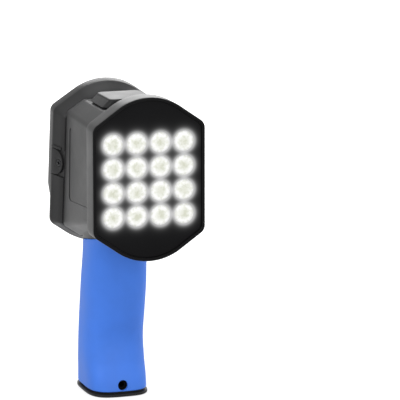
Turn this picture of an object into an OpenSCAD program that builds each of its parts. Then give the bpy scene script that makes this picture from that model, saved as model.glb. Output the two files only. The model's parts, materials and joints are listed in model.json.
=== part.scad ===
// Hand-held LED stroboscope.
// +Z is up, the lamp shines towards -Y and the display faces +Y.
// The origin is the centre of the foot, on the surface that the handle stands on.

/* [Lamp head] */
// Width of the lamp housing
lamp_w = 76; // [72:1:84]
// Height of the lamp housing
lamp_h = 108; // [104:1:120]
// Depth of the lamp housing's outer wall
lamp_depth = 17.5; // [16:0.5:22]
// Slope of the housings' corner facets, in degrees
facet_slope = 35; // [30:1:38]
// Radius of the lamp housing's crown
lamp_crown = 37; // [30:1:42]
// Rounding of the lamp housing's back edge
lamp_round = 3.5; // [2.5:0.5:4]
// Thickness of the rim around the lamp mask
rim_wall = 2.2; // [1.6:0.2:3]
// Depth of the lamp mask behind the rim
mask_recess = 1.6; // [1:0.2:3]
// Thickness of the lamp mask
mask_t = 2; // [1.6:0.2:3]
// Length of the collar behind the lamp housing
collar_len = 10.5; // [8:0.5:12]
// Width of that collar
collar_w = 57.6; // [57:0.2:58.4]
// Height of that collar
collar_h = 93; // [90:1:94]

/* [LEDs] */
// LEDs in a row
led_cols = 4; // [2:1:4]
// Rows of LEDs
led_rows = 4; // [2:1:4]
// Distance between LEDs
led_pitch = 16; // [15.5:0.1:16.2]
// Diameter of a lens
lens_d = 13.4; // [11:0.2:13.6]
// Crown of a lens in front of its edge
lens_crown = 0.8; // [0.4:0.1:1.2]

/* [Body] */
// Distance from the lamp rim to the middle of the foot
reach = 88; // [84:1:96]
// Height of the lamp's centre over the foot
head_z = 160; // [156:1:170]
// Width of the body
body_w = 62; // [60:1:66]
// Wall of the body and of the handle core
wall = 2.2; // [2:0.2:3]
// Height of the body's flat top over the lamp's centre
body_top = 41; // [39:0.5:42]
// Half width of the body's flat top
top_half = 19.5; // [18:0.5:21]
// Rounding along the body's long edges
body_round = 5; // [3:0.5:7]
// Depth of the label panels in the body's sides
panel_depth = 0.4; // [0.2:0.1:0.6]

/* [Display] */
// Lean of the display, in degrees
tilt = 8; // [5:1:10]
// Distance of the fascia behind the middle of the foot
fascia_y = 13.5; // [12:0.5:16]
// Height of the display's centre below the lamp's centre
display_drop = 3; // [1:0.5:5]
// Width over the display housing's rim
rim_w = 74; // [72:1:80]
// Rim's top over the display's centre
rim_top = 54; // [52:1:58]
// Rim's bottom below the display's centre
rim_bottom = 60; // [58:0.5:62]
// Depth of the sun hood in front of the fascia
hood = 8; // [7:0.5:9]
// Height of the lower rim in front of the fascia
low_rim = 2.2; // [1.5:0.1:3]
// Depth of the display housing behind the fascia
neck = 11; // [10:0.5:12]
// Widening of the display housing from its neck to its rim
flare = 5; // [4:0.5:5.5]
// Thickness of the fascia
fascia_t = 2.5; // [2:0.1:3]
// Width of the fascia's border beside the display window
lcd_side = 14.5; // [14.2:0.1:17]
// Height of the display window
lcd_h = 52.5; // [48:0.5:53]

/* [Keys] */
// Distance from the oval keypad to the display housing's inner wall
pad_side = 5.18; // [5.1:0.02:7]
// Height of the oval keypad
pad_h = 18.8; // [18:0.2:19.4]
// Keypad's centre below the display's centre
pad_drop = 40.4; // [40:0.2:42]
// Gap between keys
key_gap = 1.6; // [0.8:0.1:1.8]
// Half distance between the two end keys
key_split = 11.5; // [10:0.5:13]
// Height of the keys over the fascia
key_proud = 2.2; // [1.6:0.1:3]
// Travel of a key
key_travel = 0.8; // [0.5:0.1:0.9]

/* [Handle] */
// Thickness of the soft grip
grip_t = 2.2; // [1.8:0.1:2.6]
// Squareness of the handle's section: 2 is an ellipse
squareness = 2.7; // [2.4:0.1:3]
// Thickness of the foot
foot_t = 1.8; // [1.8:0.1:3]
// Gap between foot and grip
foot_gap = 1.6; // [1.2:0.1:2.2]
// Height of the lead socket over the foot's underside
socket_z = 7.6; // [7.5:0.1:9]
// Diameter of the opening in front of the lead socket
socket_open = 7; // [6.4:0.1:7.2]
// Bore of the lead socket
socket_bore = 3.6; // [3.5:0.05:3.7]
// Depth of the lead socket's bore
socket_depth = 12; // [10:1:14]
// Diameter of a battery cell
cell_d = 15; // [13:0.2:15.2]
// Length of a battery cell
cell_l = 65; // [50:1:66]

/* [Hidden] */

eps = 0.01;
clear = 0.3;
snug = 0.15;
arc_step = 3;
$fn = 48;
round_step = 22.5;
edge_break = 0.8;
black = "#2b2b2d";
dark = "#434346";
laminate = "#1f6b3a";
key_grey = "#8d8d90";

// Depths behind the lamp rim
seat_ledge = 2;
lamp_wall = 2.4;
hollow_round = lamp_round - lamp_wall;
gasket_t = 1;
mask_back = mask_recess + mask_t;
lens_flange_t = gasket_t;
lens_back = mask_back + lens_flange_t;
emitter_t = 1.2;
emitter_w = 5;
lens_space = 1;
board_t = 1.6;
core_t = 1;
core_margin = 0.5;
core_w = led_cols * led_pitch + 2 * core_margin;
core_h = led_rows * led_pitch + 2 * core_margin;
board_z = lens_back + emitter_t;
sink_z = board_z + core_t;
sink_t = 1.5;
fin_t = 1.2;
fin_pitch = 8;
fins = 4;
fin_h = 50;
fin_short = 2;
fin_end = lamp_depth + collar_len - fin_short;
lamp_corner = 6.5;
collar_crown = 30;
collar_corner = 4;
collar_fillet = 3;
fillet_step = 30;
seam_front = lamp_depth + collar_len;

// Screws
screw_r = 1.25;
head_r = 2.4;
head_t = 1.6;
flat_head_t = 0.9;
thread_fit = 0.06;
boss_r = 3.2;

// Ears: half-round lugs that hold the two end housings
ear_r = 9;
ear_t = 2.6;
ear_gap = 1;
ear_side = 0.6;
ear_steps = 24;
ear_from = 20;
ear_bite = 1;
ear_bar = 0.9;
front_straight = 1.5;
rear_straight = 2.5;
ear_screw = 6.2;
rear_ear_screw = 7.6;
ear_tuck = 0.2;
ear_proud = 0.5;
ear_moat = 1.2;
brow_t = 1.8;
brow_l = 9.5;
brow_from = 0.5;
brow_proud = 1;
screw_reach = 9;
front_reach = 6;
rear_reach = 5;

// Body sections: heights of the side edges over the lamp's centre, at the front and at the back
body_half = body_w / 2;
ear_sink = body_half - ear_t - collar_w / 2 + ear_bite;
side_top_front = 30.5;
side_low_front = -31;
low_front = -41;
side_top_back = 37.5;
side_low_back = -43;
low_back = -51;
top_rise = 4.5;
top_back = body_top + top_rise;
bottom_half = 19;
edge_share = 0.4;
land = 1;
collar_wall = 2.6;
spigot_inset = body_half - collar_w / 2 + collar_wall + clear;
seam_back = -neck;
spigot_len = 6;
back_spigot = 2.2;
tongue_half = 9;
tongue_len = 6.5;

// Label panels
panel_from = 9;
panel_l = 41;
panel_low = 24;
panel_high = 20;
panel_lean = 3;
panel_round = 3;

// Top cover
cover_l = 33;
cover_from = 38;
cover_h = 6.2;
cover_w = 2 * top_half;
cover_draw = 5;
cover_round = 4;
cover_lip = 2.4;
cover_gap = 0.7;
cover_edge = 0.6;
cover_edge_w = 0.4;
slot_w = 24;
slot_l = 22;

// Display stack, measured from the fascia's face
rim_half = rim_w / 2;
lcd_w = rim_w - 2 * lcd_side;
rim_crown = 36;
chin_crown = 45;
rim_corner = 6;
rim_t = 2.4;
face_inset = 3.4;
ledge = 4.2;
tray_wall = 1.1;
tray_drop = 1.1;
inside = face_inset + ledge;
lcd_margin = 1.2;
lcd_t = 2.5;
frame_wall = 2.4;
frame_h = 3.5;
post_r = 2.4;
post_blind = 0.5;
post_in = 2.5;
post_rise = 6.75;
post_side = 12.5;
post_drop = 6.35;
top_post = [lcd_w / 2 - post_in, lcd_h / 2 + post_rise];
low_post = [rim_half - post_side, -lcd_h / 2 - post_drop];
notch_y = -18.5;
notch_run = 7;
board_top = -fascia_t - frame_h;
display_reach = board_t + frame_h - 2 * post_blind;

// Keys
pad_w = 2 * (rim_room(-pad_drop, inside) - pad_side);
skirt = 0.7;
skirt_t = 1;
oval_fn = 64;
mat_t = 1;
plunger_r = 2.2;
dome_r = 3;
dome_t = 0.4;
dome_bevel = 0.8;
crown_fn = 96;
key_crown = 90;
key_under = -fascia_t - ear_tuck - skirt_t;
mat_top = key_under - key_travel - ear_tuck;
end_key_x = (pad_w / 2 + key_split) / 2;
side_share = 0.62;
lid_share = 0.29;
mid_key_x = key_split * side_share;
mid_key_y = pad_h * lid_share;
key_spots = [[-end_key_x, 0], [end_key_x, 0], [-mid_key_x, 0], [mid_key_x, 0], [0, mid_key_y],
    [0, -mid_key_y]];
// The diagonal gaps: their slope, and the height of their edges over their middle
far = pad_w;
half_gap = key_gap / 2;
cross_slope = pad_h / 2 / key_split;
cross_shift = half_gap * sqrt(1 + cross_slope * cross_slope);
edge_x = key_split - half_gap;
edge_y = cross_slope * edge_x;
tip_x = cross_shift / cross_slope;

// Driver board
driver_w = 40;
driver_l = 42;
driver_space = 8;
driver_from = seam_front + driver_space;
driver_drop = 10;
bulkhead_in = 8;
bulkheads = [driver_from + bulkhead_in, driver_from + driver_l - bulkhead_in];
bulkhead_t = 2;
bulkhead_hold = 2;
bulkhead_open = driver_w / 2 - bulkhead_hold;
bulkhead_open_h = 24;
coil_r = 7;
coil_h = 8;
coil_spot = [-9, -16];
can_r = 4;
can_h = 13;
can_spots = [[8, -12], [8, -22]];
// Chips: place and size
chips = [[[-12, -34], [10, 7, 3]], [[4, -34], [8, 6, 2]]];

// Handle stations: height, centre in Y, half width in X, half depth in Y and added squareness
stations = [[foot_t + foot_gap, -1.6, 20.6, 26.4, 0.7], [12, -1, 20.7, 25.2, 0.6],
    [22, 0.6, 20.9, 23.4, 0.3], [38, 1.2, 20.8, 21.7, 0.1], [55, -2, 21, 22.1, 0],
    [75, -6, 21.1, 21.8, 0], [94, -9, 20.6, 21.5, 0], [104, -11, 20.8, 21.8, 0]];
root_stations = [[94, -9, 20.6, 21.5, 0], [104, -11, 20.8, 21.8, 0], [110, -13, 21.6, 24.7, -0.1],
    [115, -16, 23.2, 30, -0.2], [120, -19, 24.8, 37.5, -0.3]];
handle_fn = 32;
smooth = 2;
// Upper edge of the grip, seen from the side: points in Y and Z, from the front to the back
grip_edge = [[-34, 111], [-5, 106], [14, 97]];
grip_slope = (grip_edge[0].y - grip_edge[1].y) / (grip_edge[1].x - grip_edge[0].x);
foot_spread = 0.6;
foot_spot_x = 12;
foot_spot_y = 8;
foot_reach = 3.9;
floor_t = 2.3;
floor_z = foot_t + foot_gap + floor_t;
socket_lip = 0.1;
socket_r = socket_open / 2 + socket_lip;
socket_face = -23.4;
socket_end = 2;
socket_l = socket_depth + socket_end;
rake = 9.5;
cell_z = 59;
cell_y = -3;
cell_space = 1.6;
web_t = 1.2;
cradle_t = 2;

// Outlines

function unit(v) = v / norm(v);

// Arc that rounds the corner b of the path a, b, c; b holds its radius and the radius that sets its steps
function corner_arc(a, b, c) =
    let (p = [b.x, b.y], u = unit([a.x, a.y] - p), w = unit([c.x, c.y] - p), half = acos(u * w) / 2,
        r = b[2], centre = p + unit(u + w) * r / sin(half), from = p + u * r / tan(half) - centre,
        start = atan2(from.y, from.x), sweep = 180 - 2 * half,
        steps = 2 * ceil(sweep * PI / 180 * b[3] / arc_step / 2))
    [for (i = [0 : steps]) centre + r * [cos(start + sweep * i / steps), sin(start + sweep * i / steps)]];

// Closed outline through rounded corners, anticlockwise
function rounded(corners) =
    let (n = len(corners))
    [for (i = [0 : n - 1]) each corner_arc(corners[(i + n - 1) % n], corners[i], corners[(i + 1) % n])];

// Upright case outline, drawn in by d: straight sides, sloping facets and an arched crown and chin
function case_outline(half_w, top, bottom, crown, chin, corner, d) =
    let (half = half_w - d, r = max(corner - d, 1), lift = 1 / cos(facet_slope) - 1,
        apex = top - d + (crown - d) * lift, foot = d - bottom - (chin - d) * lift,
        drop = half * tan(facet_slope))
    rounded([[half, foot + drop, r, corner], [half, apex - drop, r, corner], [0, apex, crown - d, crown],
        [-half, apex - drop, r, corner], [-half, foot + drop, r, corner], [0, foot, chin - d, chin]]);

function lamp_outline(d) =
    case_outline(lamp_w / 2, lamp_h / 2, lamp_h / 2, lamp_crown, lamp_crown, lamp_corner, d);

function collar_outline(d) =
    case_outline(collar_w / 2, collar_h / 2, collar_h / 2, collar_crown, collar_crown, collar_corner, d);

function rim_outline(d) = case_outline(rim_half, rim_top, rim_bottom, rim_crown, chin_crown, rim_corner, d);

// Half width of the display housing, drawn in by d, at a height on its straight side or its lower facet
function rim_room(v, d) =
    let (lift = 1 / cos(facet_slope) - 1)
    min(rim_half - d, (v + rim_bottom - d + (chin_crown - d) * lift) / tan(facet_slope));

// Eight-sided body section with rounded edges, drawn in by d
function body_section(top, side_top, side_low, low, d) =
    let (r = max(body_round - d, 1), q = body_round, half = body_half - d, e = d * edge_share)
    rounded([[half, side_low + e, r, q], [half, side_top - e, r, q], [top_half - e, top - d, r, q],
        [e - top_half, top - d, r, q], [-half, side_top - e, r, q], [-half, side_low + e, r, q],
        [e - bottom_half, low + d, r, q], [bottom_half - e, low + d, r, q]]);

function front_section(d) = body_section(body_top, side_top_front, side_low_front, low_front, d);

function back_section(d) = body_section(top_back, side_top_back, side_low_back, low_back, d);

function power(v, e) = sign(v) * pow(abs(v), e);

// Squared ellipse
function squared(hx, hy, more, n) =
    let (e = 2 / (squareness + more))
    [for (i = [0 : n - 1]) [hx * power(cos(360 * i / n), e), hy * power(sin(360 * i / n), e)]];

function ellipse(hx, hy) =
    [for (i = [0 : oval_fn - 1]) [hx * cos(360 * i / oval_fn), hy * sin(360 * i / oval_fn)]];

// Smooth curve through a list of stations
function blend(list, i, t) =
    let (n = len(list) - 1, a = list[max(i - 1, 0)], b = list[i], c = list[min(i + 1, n)],
        e = list[min(i + 2, n)])
    b + (c - a) * t / 2 + (2 * a - 5 * b + 4 * c - e) * t * t / 2 + (3 * b - a - 3 * c + e) * t * t * t / 2;

function resampled(list) =
    concat([for (i = [0 : len(list) - 2], k = [0 : smooth - 1]) blend(list, i, k / smooth)],
        [list[len(list) - 1]]);

// Frames

// Lamp frame: x to the left seen from the front, y up, z rearwards from the rim
module lamp_frame() {
    translate([0, -reach, head_z]) rotate([90, 0, 180]) children();
}

// Face frame: x to the reader's right, y up the fascia, z out of the fascia
module face_frame() {
    translate([0, fascia_y, head_z - display_drop]) rotate([90 - tilt, 0, 180]) children();
}

// Solid through layers, each [height, outline], from low to high; all outlines have as many points
module loft(layers) {
    n = len(layers[0][1]);
    top = n * (len(layers) - 1);
    polyhedron(points = [for (l = layers, p = l[1]) [p.x, p.y, l[0]]],
        faces = concat([[for (i = [0 : n - 1]) i]], [[for (i = [n - 1 : -1 : 0]) top + i]],
            [for (k = [0 : n : top - n], i = [0 : n - 1])
                [k + i, k + n + i, k + n + (i + 1) % n, k + (i + 1) % n]]));
}

module led_grid() {
    for (i = [0 : led_cols - 1], j = [0 : led_rows - 1])
        translate([(i - (led_cols - 1) / 2) * led_pitch, (j - (led_rows - 1) / 2) * led_pitch, 0]) children();
}

module four(x, y) {
    for (i = [-1, 1], j = [-1, 1]) translate([i * x, j * y, 0]) children();
}

// Screw with its head's underside at z = 0 and its tip below
module screw(length) {
    cylinder(r = head_r, h = head_t);
    translate([0, 0, -length]) cylinder(r = screw_r, h = length + eps);
}

// Lamp head

// Lug with a straight root and a half-round end
module ear_outline(straight) {
    polygon(concat([[ear_r, 0]],
        [for (i = [0 : ear_steps])
            [ear_r * cos(180 * i / ear_steps), straight + ear_r * sin(180 * i / ear_steps)]],
        [[-ear_r, 0]]));
}

// Front lug, sunk into the collar's side, between the two bars that frame it
module front_ear() {
    run = seam_front - ear_from - clear;
    linear_extrude(ear_t) ear_outline(front_straight);
    translate([0, 0, -ear_sink]) {
        linear_extrude(ear_sink + eps) intersection() {
            ear_outline(front_straight);
            translate([-ear_r, 0]) square([2 * ear_r, run]);
        }
        for (s = [-1, 1]) translate([s * (ear_r + ear_side + ear_bar / 2) - ear_bar / 2, 0, 0])
            cube([ear_bar, run, ear_sink + ear_t]);
    }
}

// Outline of the square pocket around a lug
module ear_pocket(straight) {
    translate([-ear_r - ear_side, 0]) square([2 * (ear_r + ear_side), straight + ear_r + ear_gap]);
}

// Places a lug on each side of the lamp's collar, its round end rearwards
module on_front_ears() {
    for (s = [-1, 1]) translate([s * (body_half - ear_t), 0, ear_from]) rotate([90, 0, s * 90]) children();
}

module lamp_bezel() {
    color(black) lamp_frame() difference() {
        union() {
            loft(concat([[0, lamp_outline(edge_break)], [edge_break, lamp_outline(0)]],
                [for (a = [0 : round_step : 90])
                    [lamp_depth - lamp_round * (1 - sin(a)), lamp_outline(lamp_round * (1 - cos(a)))]]));
            loft(concat([[lamp_depth - lamp_round, collar_outline(-collar_fillet)]],
                [for (a = [0 : fillet_step : 90])
                    [lamp_depth + collar_fillet * (1 - cos(a)),
                        collar_outline(collar_fillet * (sin(a) - 1))]],
                [[seam_front, collar_outline(0)]]));
            on_front_ears() front_ear();
        }
        translate([0, 0, -eps]) linear_extrude(lens_back + eps) polygon(lamp_outline(rim_wall));
        translate([0, 0, mask_back]) linear_extrude(lens_back) polygon(lamp_outline(rim_wall + seat_ledge));
        loft(concat([[lens_back + seat_ledge, lamp_outline(lamp_wall)]],
            [for (a = [0 : round_step : 90])
                [lamp_depth - lamp_round + hollow_round * sin(a),
                    lamp_outline(lamp_wall + hollow_round * (1 - cos(a)))]]));
        translate([0, 0, mask_back]) linear_extrude(seam_front) polygon(front_section(spigot_inset - clear));
        on_front_ears() translate([0, ear_screw, -screw_reach]) {
            cylinder(r = screw_r + thread_fit, h = screw_reach + ear_t);
            translate([0, 0, screw_reach + ear_t - head_t]) cylinder(r = head_r + snug, h = ear_t);
        }
    }
}

module lamp_mask() {
    color("#101011") lamp_frame() {
        translate([0, 0, mask_recess]) linear_extrude(mask_t) difference() {
            polygon(lamp_outline(rim_wall + snug));
            led_grid() circle(d = lens_d + 2 * snug);
        }
        four(led_pitch, led_pitch) translate([0, 0, mask_back]) difference() {
            cylinder(r = boss_r, h = board_z - mask_back);
            cylinder(r = screw_r + thread_fit, h = board_z);
        }
    }
}

module lens() {
    lens_r = (pow(lens_d / 2, 2) + pow(lens_crown, 2)) / (2 * lens_crown);
    intersection() {
        translate([0, 0, mask_recess - lens_crown / 2]) cylinder(d = lens_d, h = lens_back);
        translate([0, 0, mask_recess - lens_crown / 2 + lens_r]) sphere(r = lens_r);
        translate([0, 0, -lens_d]) cylinder(d = lens_d, h = lens_d + lens_back);
    }
    translate([0, 0, mask_back]) cylinder(d = led_pitch - lens_space, h = lens_flange_t);
}

module led_lenses() {
    color("#f4f6ea", 0.7) lamp_frame() led_grid() lens();
}

module led_emitters() {
    color("#e8d44a") lamp_frame() led_grid() translate([0, 0, lens_back]) linear_extrude(emitter_t)
        square(emitter_w, center = true);
}

module led_board() {
    color("white") lamp_frame() translate([0, 0, board_z]) linear_extrude(core_t) difference() {
        square([core_w, core_h], center = true);
        four(led_pitch, led_pitch) circle(r = screw_r + snug);
    }
}

module lamp_gasket() {
    color("#1a1a1a") lamp_frame() translate([0, 0, mask_back]) linear_extrude(gasket_t) difference() {
        polygon(lamp_outline(rim_wall + snug));
        polygon(lamp_outline(rim_wall + seat_ledge));
    }
}

module heat_sink() {
    color("#b9bcc0") lamp_frame() difference() {
        translate([0, 0, sink_z]) {
            linear_extrude(sink_t) square([core_w, core_h], center = true);
            for (i = [0 : fins - 1])
                translate([(i - (fins - 1) / 2) * fin_pitch - fin_t / 2, -fin_h / 2, sink_t - eps])
                    cube([fin_t, fin_h, fin_end - sink_z - sink_t]);
        }
        four(led_pitch, led_pitch) cylinder(r = screw_r + snug, h = sink_z + 2 * sink_t);
    }
}

module board_screws() {
    color("silver") lamp_frame() four(led_pitch, led_pitch)
        translate([0, 0, sink_z + sink_t]) screw(sink_z + sink_t - mask_back - gasket_t);
}

// Body and handle

// Layer of the handle at the station s, drawn in by d
function handle_layer(s, d) = [s[0], [for (p = squared(s[2] - d, s[3] - d, s[4], handle_fn)) p + [0, s[1]]]];

module handle_run(list, d) {
    for (i = [0 : len(list) - 2]) hull() loft([handle_layer(list[i], d), handle_layer(list[i + 1], d)]);
}

// Body between the two end housings, drawn in by d, with a straight land at each end
module body_run(d) {
    hull() {
        lamp_frame() translate([0, 0, seam_front + d]) linear_extrude(land) polygon(front_section(d));
        face_frame() translate([0, 0, seam_back - d - land]) linear_extrude(land) polygon(back_section(d));
    }
}

// Space above the grip's upper edge, grown downwards by d
module above_grip(d) {
    rotate([90, 0, 90]) translate([0, 0, -body_w]) linear_extrude(2 * body_w)
        polygon([[-reach, grip_edge[0].y - d + grip_slope * (reach + grip_edge[0].x)],
            grip_edge[1] - [0, d], grip_edge[2] - [0, d], [reach, grip_edge[2].y - d], [reach, head_z],
            [-reach, head_z]]);
}

module label_panels() {
    lamp_frame() for (m = [0, 1]) mirror([m, 0, 0])
        translate([panel_depth - body_half, 0, seam_front + panel_from]) rotate([0, -90, 0])
            linear_extrude(wall) polygon(rounded([[0, -panel_low, panel_round, panel_round],
                [panel_l + panel_lean, -panel_low - panel_lean, panel_round, panel_round],
                [panel_l, panel_high + panel_lean, panel_round, panel_round],
                [0, panel_high, panel_round, panel_round]]));
}

module bulkhead_plates() {
    intersection() {
        body_run(wall - clear);
        lamp_frame() for (b = bulkheads) translate([0, 0, b]) linear_extrude(bulkhead_t) difference() {
            square([2 * body_w, 2 * lamp_h], center = true);
            square([2 * bulkhead_open, 2 * bulkhead_open_h], center = true);
            translate([0, -driver_drop]) square([driver_w + 2 * snug, board_t + 2 * snug], center = true);
        }
    }
}

module shell_solid() {
    difference() {
        union() {
            body_run(0);
            lamp_frame() translate([0, 0, seam_front - spigot_len]) linear_extrude(spigot_len + body_round)
                polygon(front_section(spigot_inset));
            face_frame() translate([0, 0, seam_back - wall]) {
                linear_extrude(wall + back_spigot) polygon(rim_outline(inside + clear));
                for (s = [-1, 1])
                    translate([s * (rim_half - inside - clear - wall / 2), 0, (wall + tongue_len) / 2])
                    cube([wall - 2 * ear_tuck, 2 * tongue_half, wall + tongue_len], center = true);
            }
            difference() {
                union() {
                    intersection() {
                        handle_run(resampled(root_stations), 0);
                        above_grip(0);
                    }
                    handle_run(resampled(root_stations), grip_t + snug);
                }
                face_frame() translate([-body_w, -2 * reach, seam_back]) cube([2 * body_w, 4 * reach, reach]);
            }
            handle_run(resampled(stations), grip_t + snug);
        }
        body_run(wall);
        lamp_frame() translate([0, 0, seam_front - spigot_len - eps])
            linear_extrude(spigot_len + 2 * body_round) polygon(front_section(spigot_inset + wall));
        face_frame() translate([0, 0, seam_back - 2 * body_round])
            linear_extrude(2 * body_round + tongue_len + eps) polygon(rim_outline(inside + clear + wall));
        intersection() {
            handle_run(resampled(stations), grip_t + snug + wall);
            translate([0, 0, floor_z + head_z / 2]) cube([2 * body_w, 2 * reach, head_z], center = true);
        }
        label_panels();
        lamp_frame() on_front_ears() {
            translate([0, 0, -ear_tuck]) linear_extrude(2 * ear_t) ear_pocket(front_straight);
            translate([0, ear_screw, -screw_reach]) cylinder(r = screw_r + thread_fit, h = screw_reach);
        }
        face_frame() on_rear_ears() translate([0, rear_ear_screw, -screw_reach])
            cylinder(r = screw_r + thread_fit, h = screw_reach);
        for (s = [-1, 1]) translate([s * foot_spot_x, foot_spot_y, 0])
            cylinder(r = screw_r + thread_fit, h = floor_z);
    }
    bulkhead_plates();
}

module left_shell() {
    color(black) intersection() {
        difference() {
            shell_solid();
            translate([0, 0, socket_z]) rotate([90, 0, 0]) cylinder(r = socket_r + snug, h = reach);
            cover_slot();
        }
        translate([body_w, 0, head_z]) cube([2 * body_w, 4 * reach, 4 * reach], center = true);
    }
}

module right_shell() {
    mirror([1, 0, 0]) left_shell();
}

module cover_slot() {
    translate([0, cover_from + cover_l / 2 - reach, head_z + body_top])
        cube([slot_w, slot_l, 4 * wall], center = true);
}

// Outline of the raised cover, drawn in at its sides and at its ends
module cover_outline(side, end) {
    x = cover_w / 2 - side;
    y = cover_l / 2 - end;
    r = cover_round;
    polygon(rounded([[x, -y, r, r], [x, y, r, r], [-x, y, r, r], [-x, -y, r, r]]));
}

// Raised cover that bridges the joint of the two halves
module top_cover() {
    color(dark) translate([0, cover_from + cover_l / 2 - reach, head_z + body_top]) {
        hull() {
            translate([0, 0, cover_gap]) linear_extrude(eps) cover_outline(0, 0);
            translate([0, 0, cover_h - cover_edge]) linear_extrude(eps)
                cover_outline(cover_draw - cover_edge_w, 0);
            translate([0, 0, cover_h - eps]) linear_extrude(eps) cover_outline(cover_draw, cover_edge);
        }
        translate([0, 0, cover_gap / 2 + eps])
            cube([cover_w - 2 * cover_lip, cover_l - 2 * cover_lip, cover_gap], center = true);
        cube([slot_w - 2 * snug, slot_l - 2 * snug, 2 * wall], center = true);
    }
}

// Display end

// Places a lug on each flared side of the display housing, its round end towards the body
module on_rear_ears() {
    for (m = [0, 1]) mirror([m, 0, 0])
        translate([rim_half, 0, 0]) rotate([0, atan(flare / neck), 0]) rotate([-90, 0, -90]) children();
}

// Space over the lower rim, which steps back below a slanting notch, lowered by d
module notch_space(d) {
    rotate([90, 0, 90]) translate([0, 0, -rim_w]) linear_extrude(2 * rim_w)
        polygon([[notch_y, 2 * hood], [notch_y, hood - d], [notch_y - notch_run, low_rim - d],
            [-2 * rim_bottom, low_rim - d], [-2 * rim_bottom, 2 * hood]]);
}

module display_housing() {
    color(black) face_frame() difference() {
        union() {
            difference() {
                loft([[seam_back, rim_outline(flare)], [0, rim_outline(0)],
                    [hood - edge_break, rim_outline(0)], [hood, rim_outline(edge_break)]]);
                on_rear_ears() translate([0, 0, -ear_moat]) linear_extrude(ear_t) ear_pocket(rear_straight);
            }
            on_rear_ears() {
                translate([0, 0, ear_proud - ear_t]) linear_extrude(ear_t) ear_outline(rear_straight);
                translate([-ear_r - ear_side - brow_t, brow_from, -brow_proud])
                    cube([brow_t, brow_l, 2 * brow_proud]);
            }
        }
        on_rear_ears() translate([0, rear_ear_screw, ear_proud]) {
            translate([0, 0, -screw_reach]) cylinder(r = screw_r + thread_fit, h = screw_reach);
            translate([0, 0, -head_t]) cylinder(r = head_r + snug, h = ear_t);
        }
        notch_space(0);
        loft([[-eps, rim_outline(face_inset)], [hood + eps, rim_outline(rim_t)]]);
        translate([0, 0, -fascia_t]) linear_extrude(fascia_t + eps) polygon(rim_outline(face_inset));
        translate([0, 0, -neck - eps]) linear_extrude(neck + 2 * eps) polygon(rim_outline(inside));
    }
}

module keypad_oval(grow) {
    translate([0, -pad_drop]) polygon(ellipse(pad_w / 2 + grow, pad_h / 2 + grow));
}

module on_posts() {
    for (m = [0, 1], spot = [top_post, low_post]) mirror([m, 0, 0]) translate([spot.x, spot.y, 0]) children();
}

module fascia() {
    color("#4c4c4e") face_frame() {
        translate([0, 0, -fascia_t]) linear_extrude(fascia_t) difference() {
            polygon(rim_outline(face_inset + clear));
            square([lcd_w, lcd_h], center = true);
            keypad_oval(0);
        }
        difference() {
            translate([0, 0, -eps]) linear_extrude(hood - tray_drop + eps) difference() {
                polygon(rim_outline(face_inset + clear));
                polygon(rim_outline(face_inset + clear + tray_wall));
            }
            notch_space(tray_drop);
        }
        on_posts() translate([0, 0, board_top]) difference() {
            cylinder(r = post_r, h = frame_h + fascia_t / 2);
            translate([0, 0, -eps]) cylinder(r = screw_r + thread_fit, h = frame_h - post_blind);
        }
    }
}

module lcd_panel() {
    color("#7d8080") face_frame() translate([0, 0, board_top]) linear_extrude(lcd_t)
        square([lcd_w + 2 * lcd_margin, lcd_h + 2 * lcd_margin], center = true);
}

module lcd_frame() {
    inner = [lcd_w + 2 * lcd_margin + 2 * snug, lcd_h + 2 * lcd_margin + 2 * snug];
    color("#18181a") face_frame() translate([0, 0, board_top]) difference() {
        linear_extrude(frame_h) square(inner + [2 * frame_wall, 2 * frame_wall], center = true);
        translate([0, 0, -eps]) linear_extrude(lcd_t + eps) square(inner, center = true);
        linear_extrude(frame_h + eps) square([lcd_w, lcd_h], center = true);
    }
}

module display_board() {
    color(laminate) face_frame() translate([0, 0, board_top - board_t]) linear_extrude(board_t) difference() {
        polygon(rim_outline(inside + clear));
        on_posts() circle(r = screw_r + snug);
        for (s = [-1, 1]) translate([s * (rim_half - inside), 0])
            square([2 * (wall + 2 * clear), 2 * (tongue_half + clear)], center = true);
    }
}

module display_screws() {
    color("silver") face_frame() on_posts() translate([0, 0, board_top - board_t]) mirror([0, 0, 1]) {
        cylinder(r = head_r, h = flat_head_t);
        translate([0, 0, -display_reach]) cylinder(r = screw_r, h = display_reach + eps);
    }
}

module key_mat() {
    color("#26282b") face_frame() difference() {
        union() {
            translate([0, 0, board_top]) linear_extrude(mat_t) keypad_oval(skirt);
            for (k = key_spots) translate([k.x, k.y - pad_drop, board_top])
                cylinder(r = plunger_r, h = mat_top - board_top);
        }
        for (k = key_spots) translate([k.x, k.y - pad_drop, board_top - eps])
            cylinder(r = dome_r + snug, h = dome_t + snug);
    }
}

module key_domes() {
    color("#c8b27a") face_frame() for (k = key_spots) translate([k.x, k.y - pad_drop, board_top])
        cylinder(r1 = dome_r, r2 = dome_r - dome_bevel, h = dome_t);
}

// One key of the oval: the part of it inside a sector outline
module key(sector, tint) {
    color(tint) face_frame() intersection() {
        union() {
            translate([0, 0, key_under]) linear_extrude(key_proud - key_under) keypad_oval(-half_gap);
            translate([0, 0, key_under]) linear_extrude(skirt_t) keypad_oval(skirt);
        }
        translate([0, -pad_drop, -2 * hood]) linear_extrude(4 * hood) polygon(sector);
        translate([0, -pad_drop, key_proud - key_crown]) sphere(r = key_crown, $fn = crown_fn);
    }
}

function end_sector(s) =
    let (x = s * (key_split + half_gap))
    [[x, -far], [s * far, -far], [s * far, far], [x, far]];

function side_sector(s) =
    [[s * tip_x, 0], [s * edge_x, cross_shift - edge_y], [s * edge_x, edge_y - cross_shift]];

function lid_sector(s) =
    [[0, s * cross_shift], [edge_x, s * (edge_y + cross_shift)], [edge_x, s * far], [-edge_x, s * far],
        [-edge_x, s * (edge_y + cross_shift)]];

module key_power() {
    key(end_sector(-1), key_grey);
}

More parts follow.
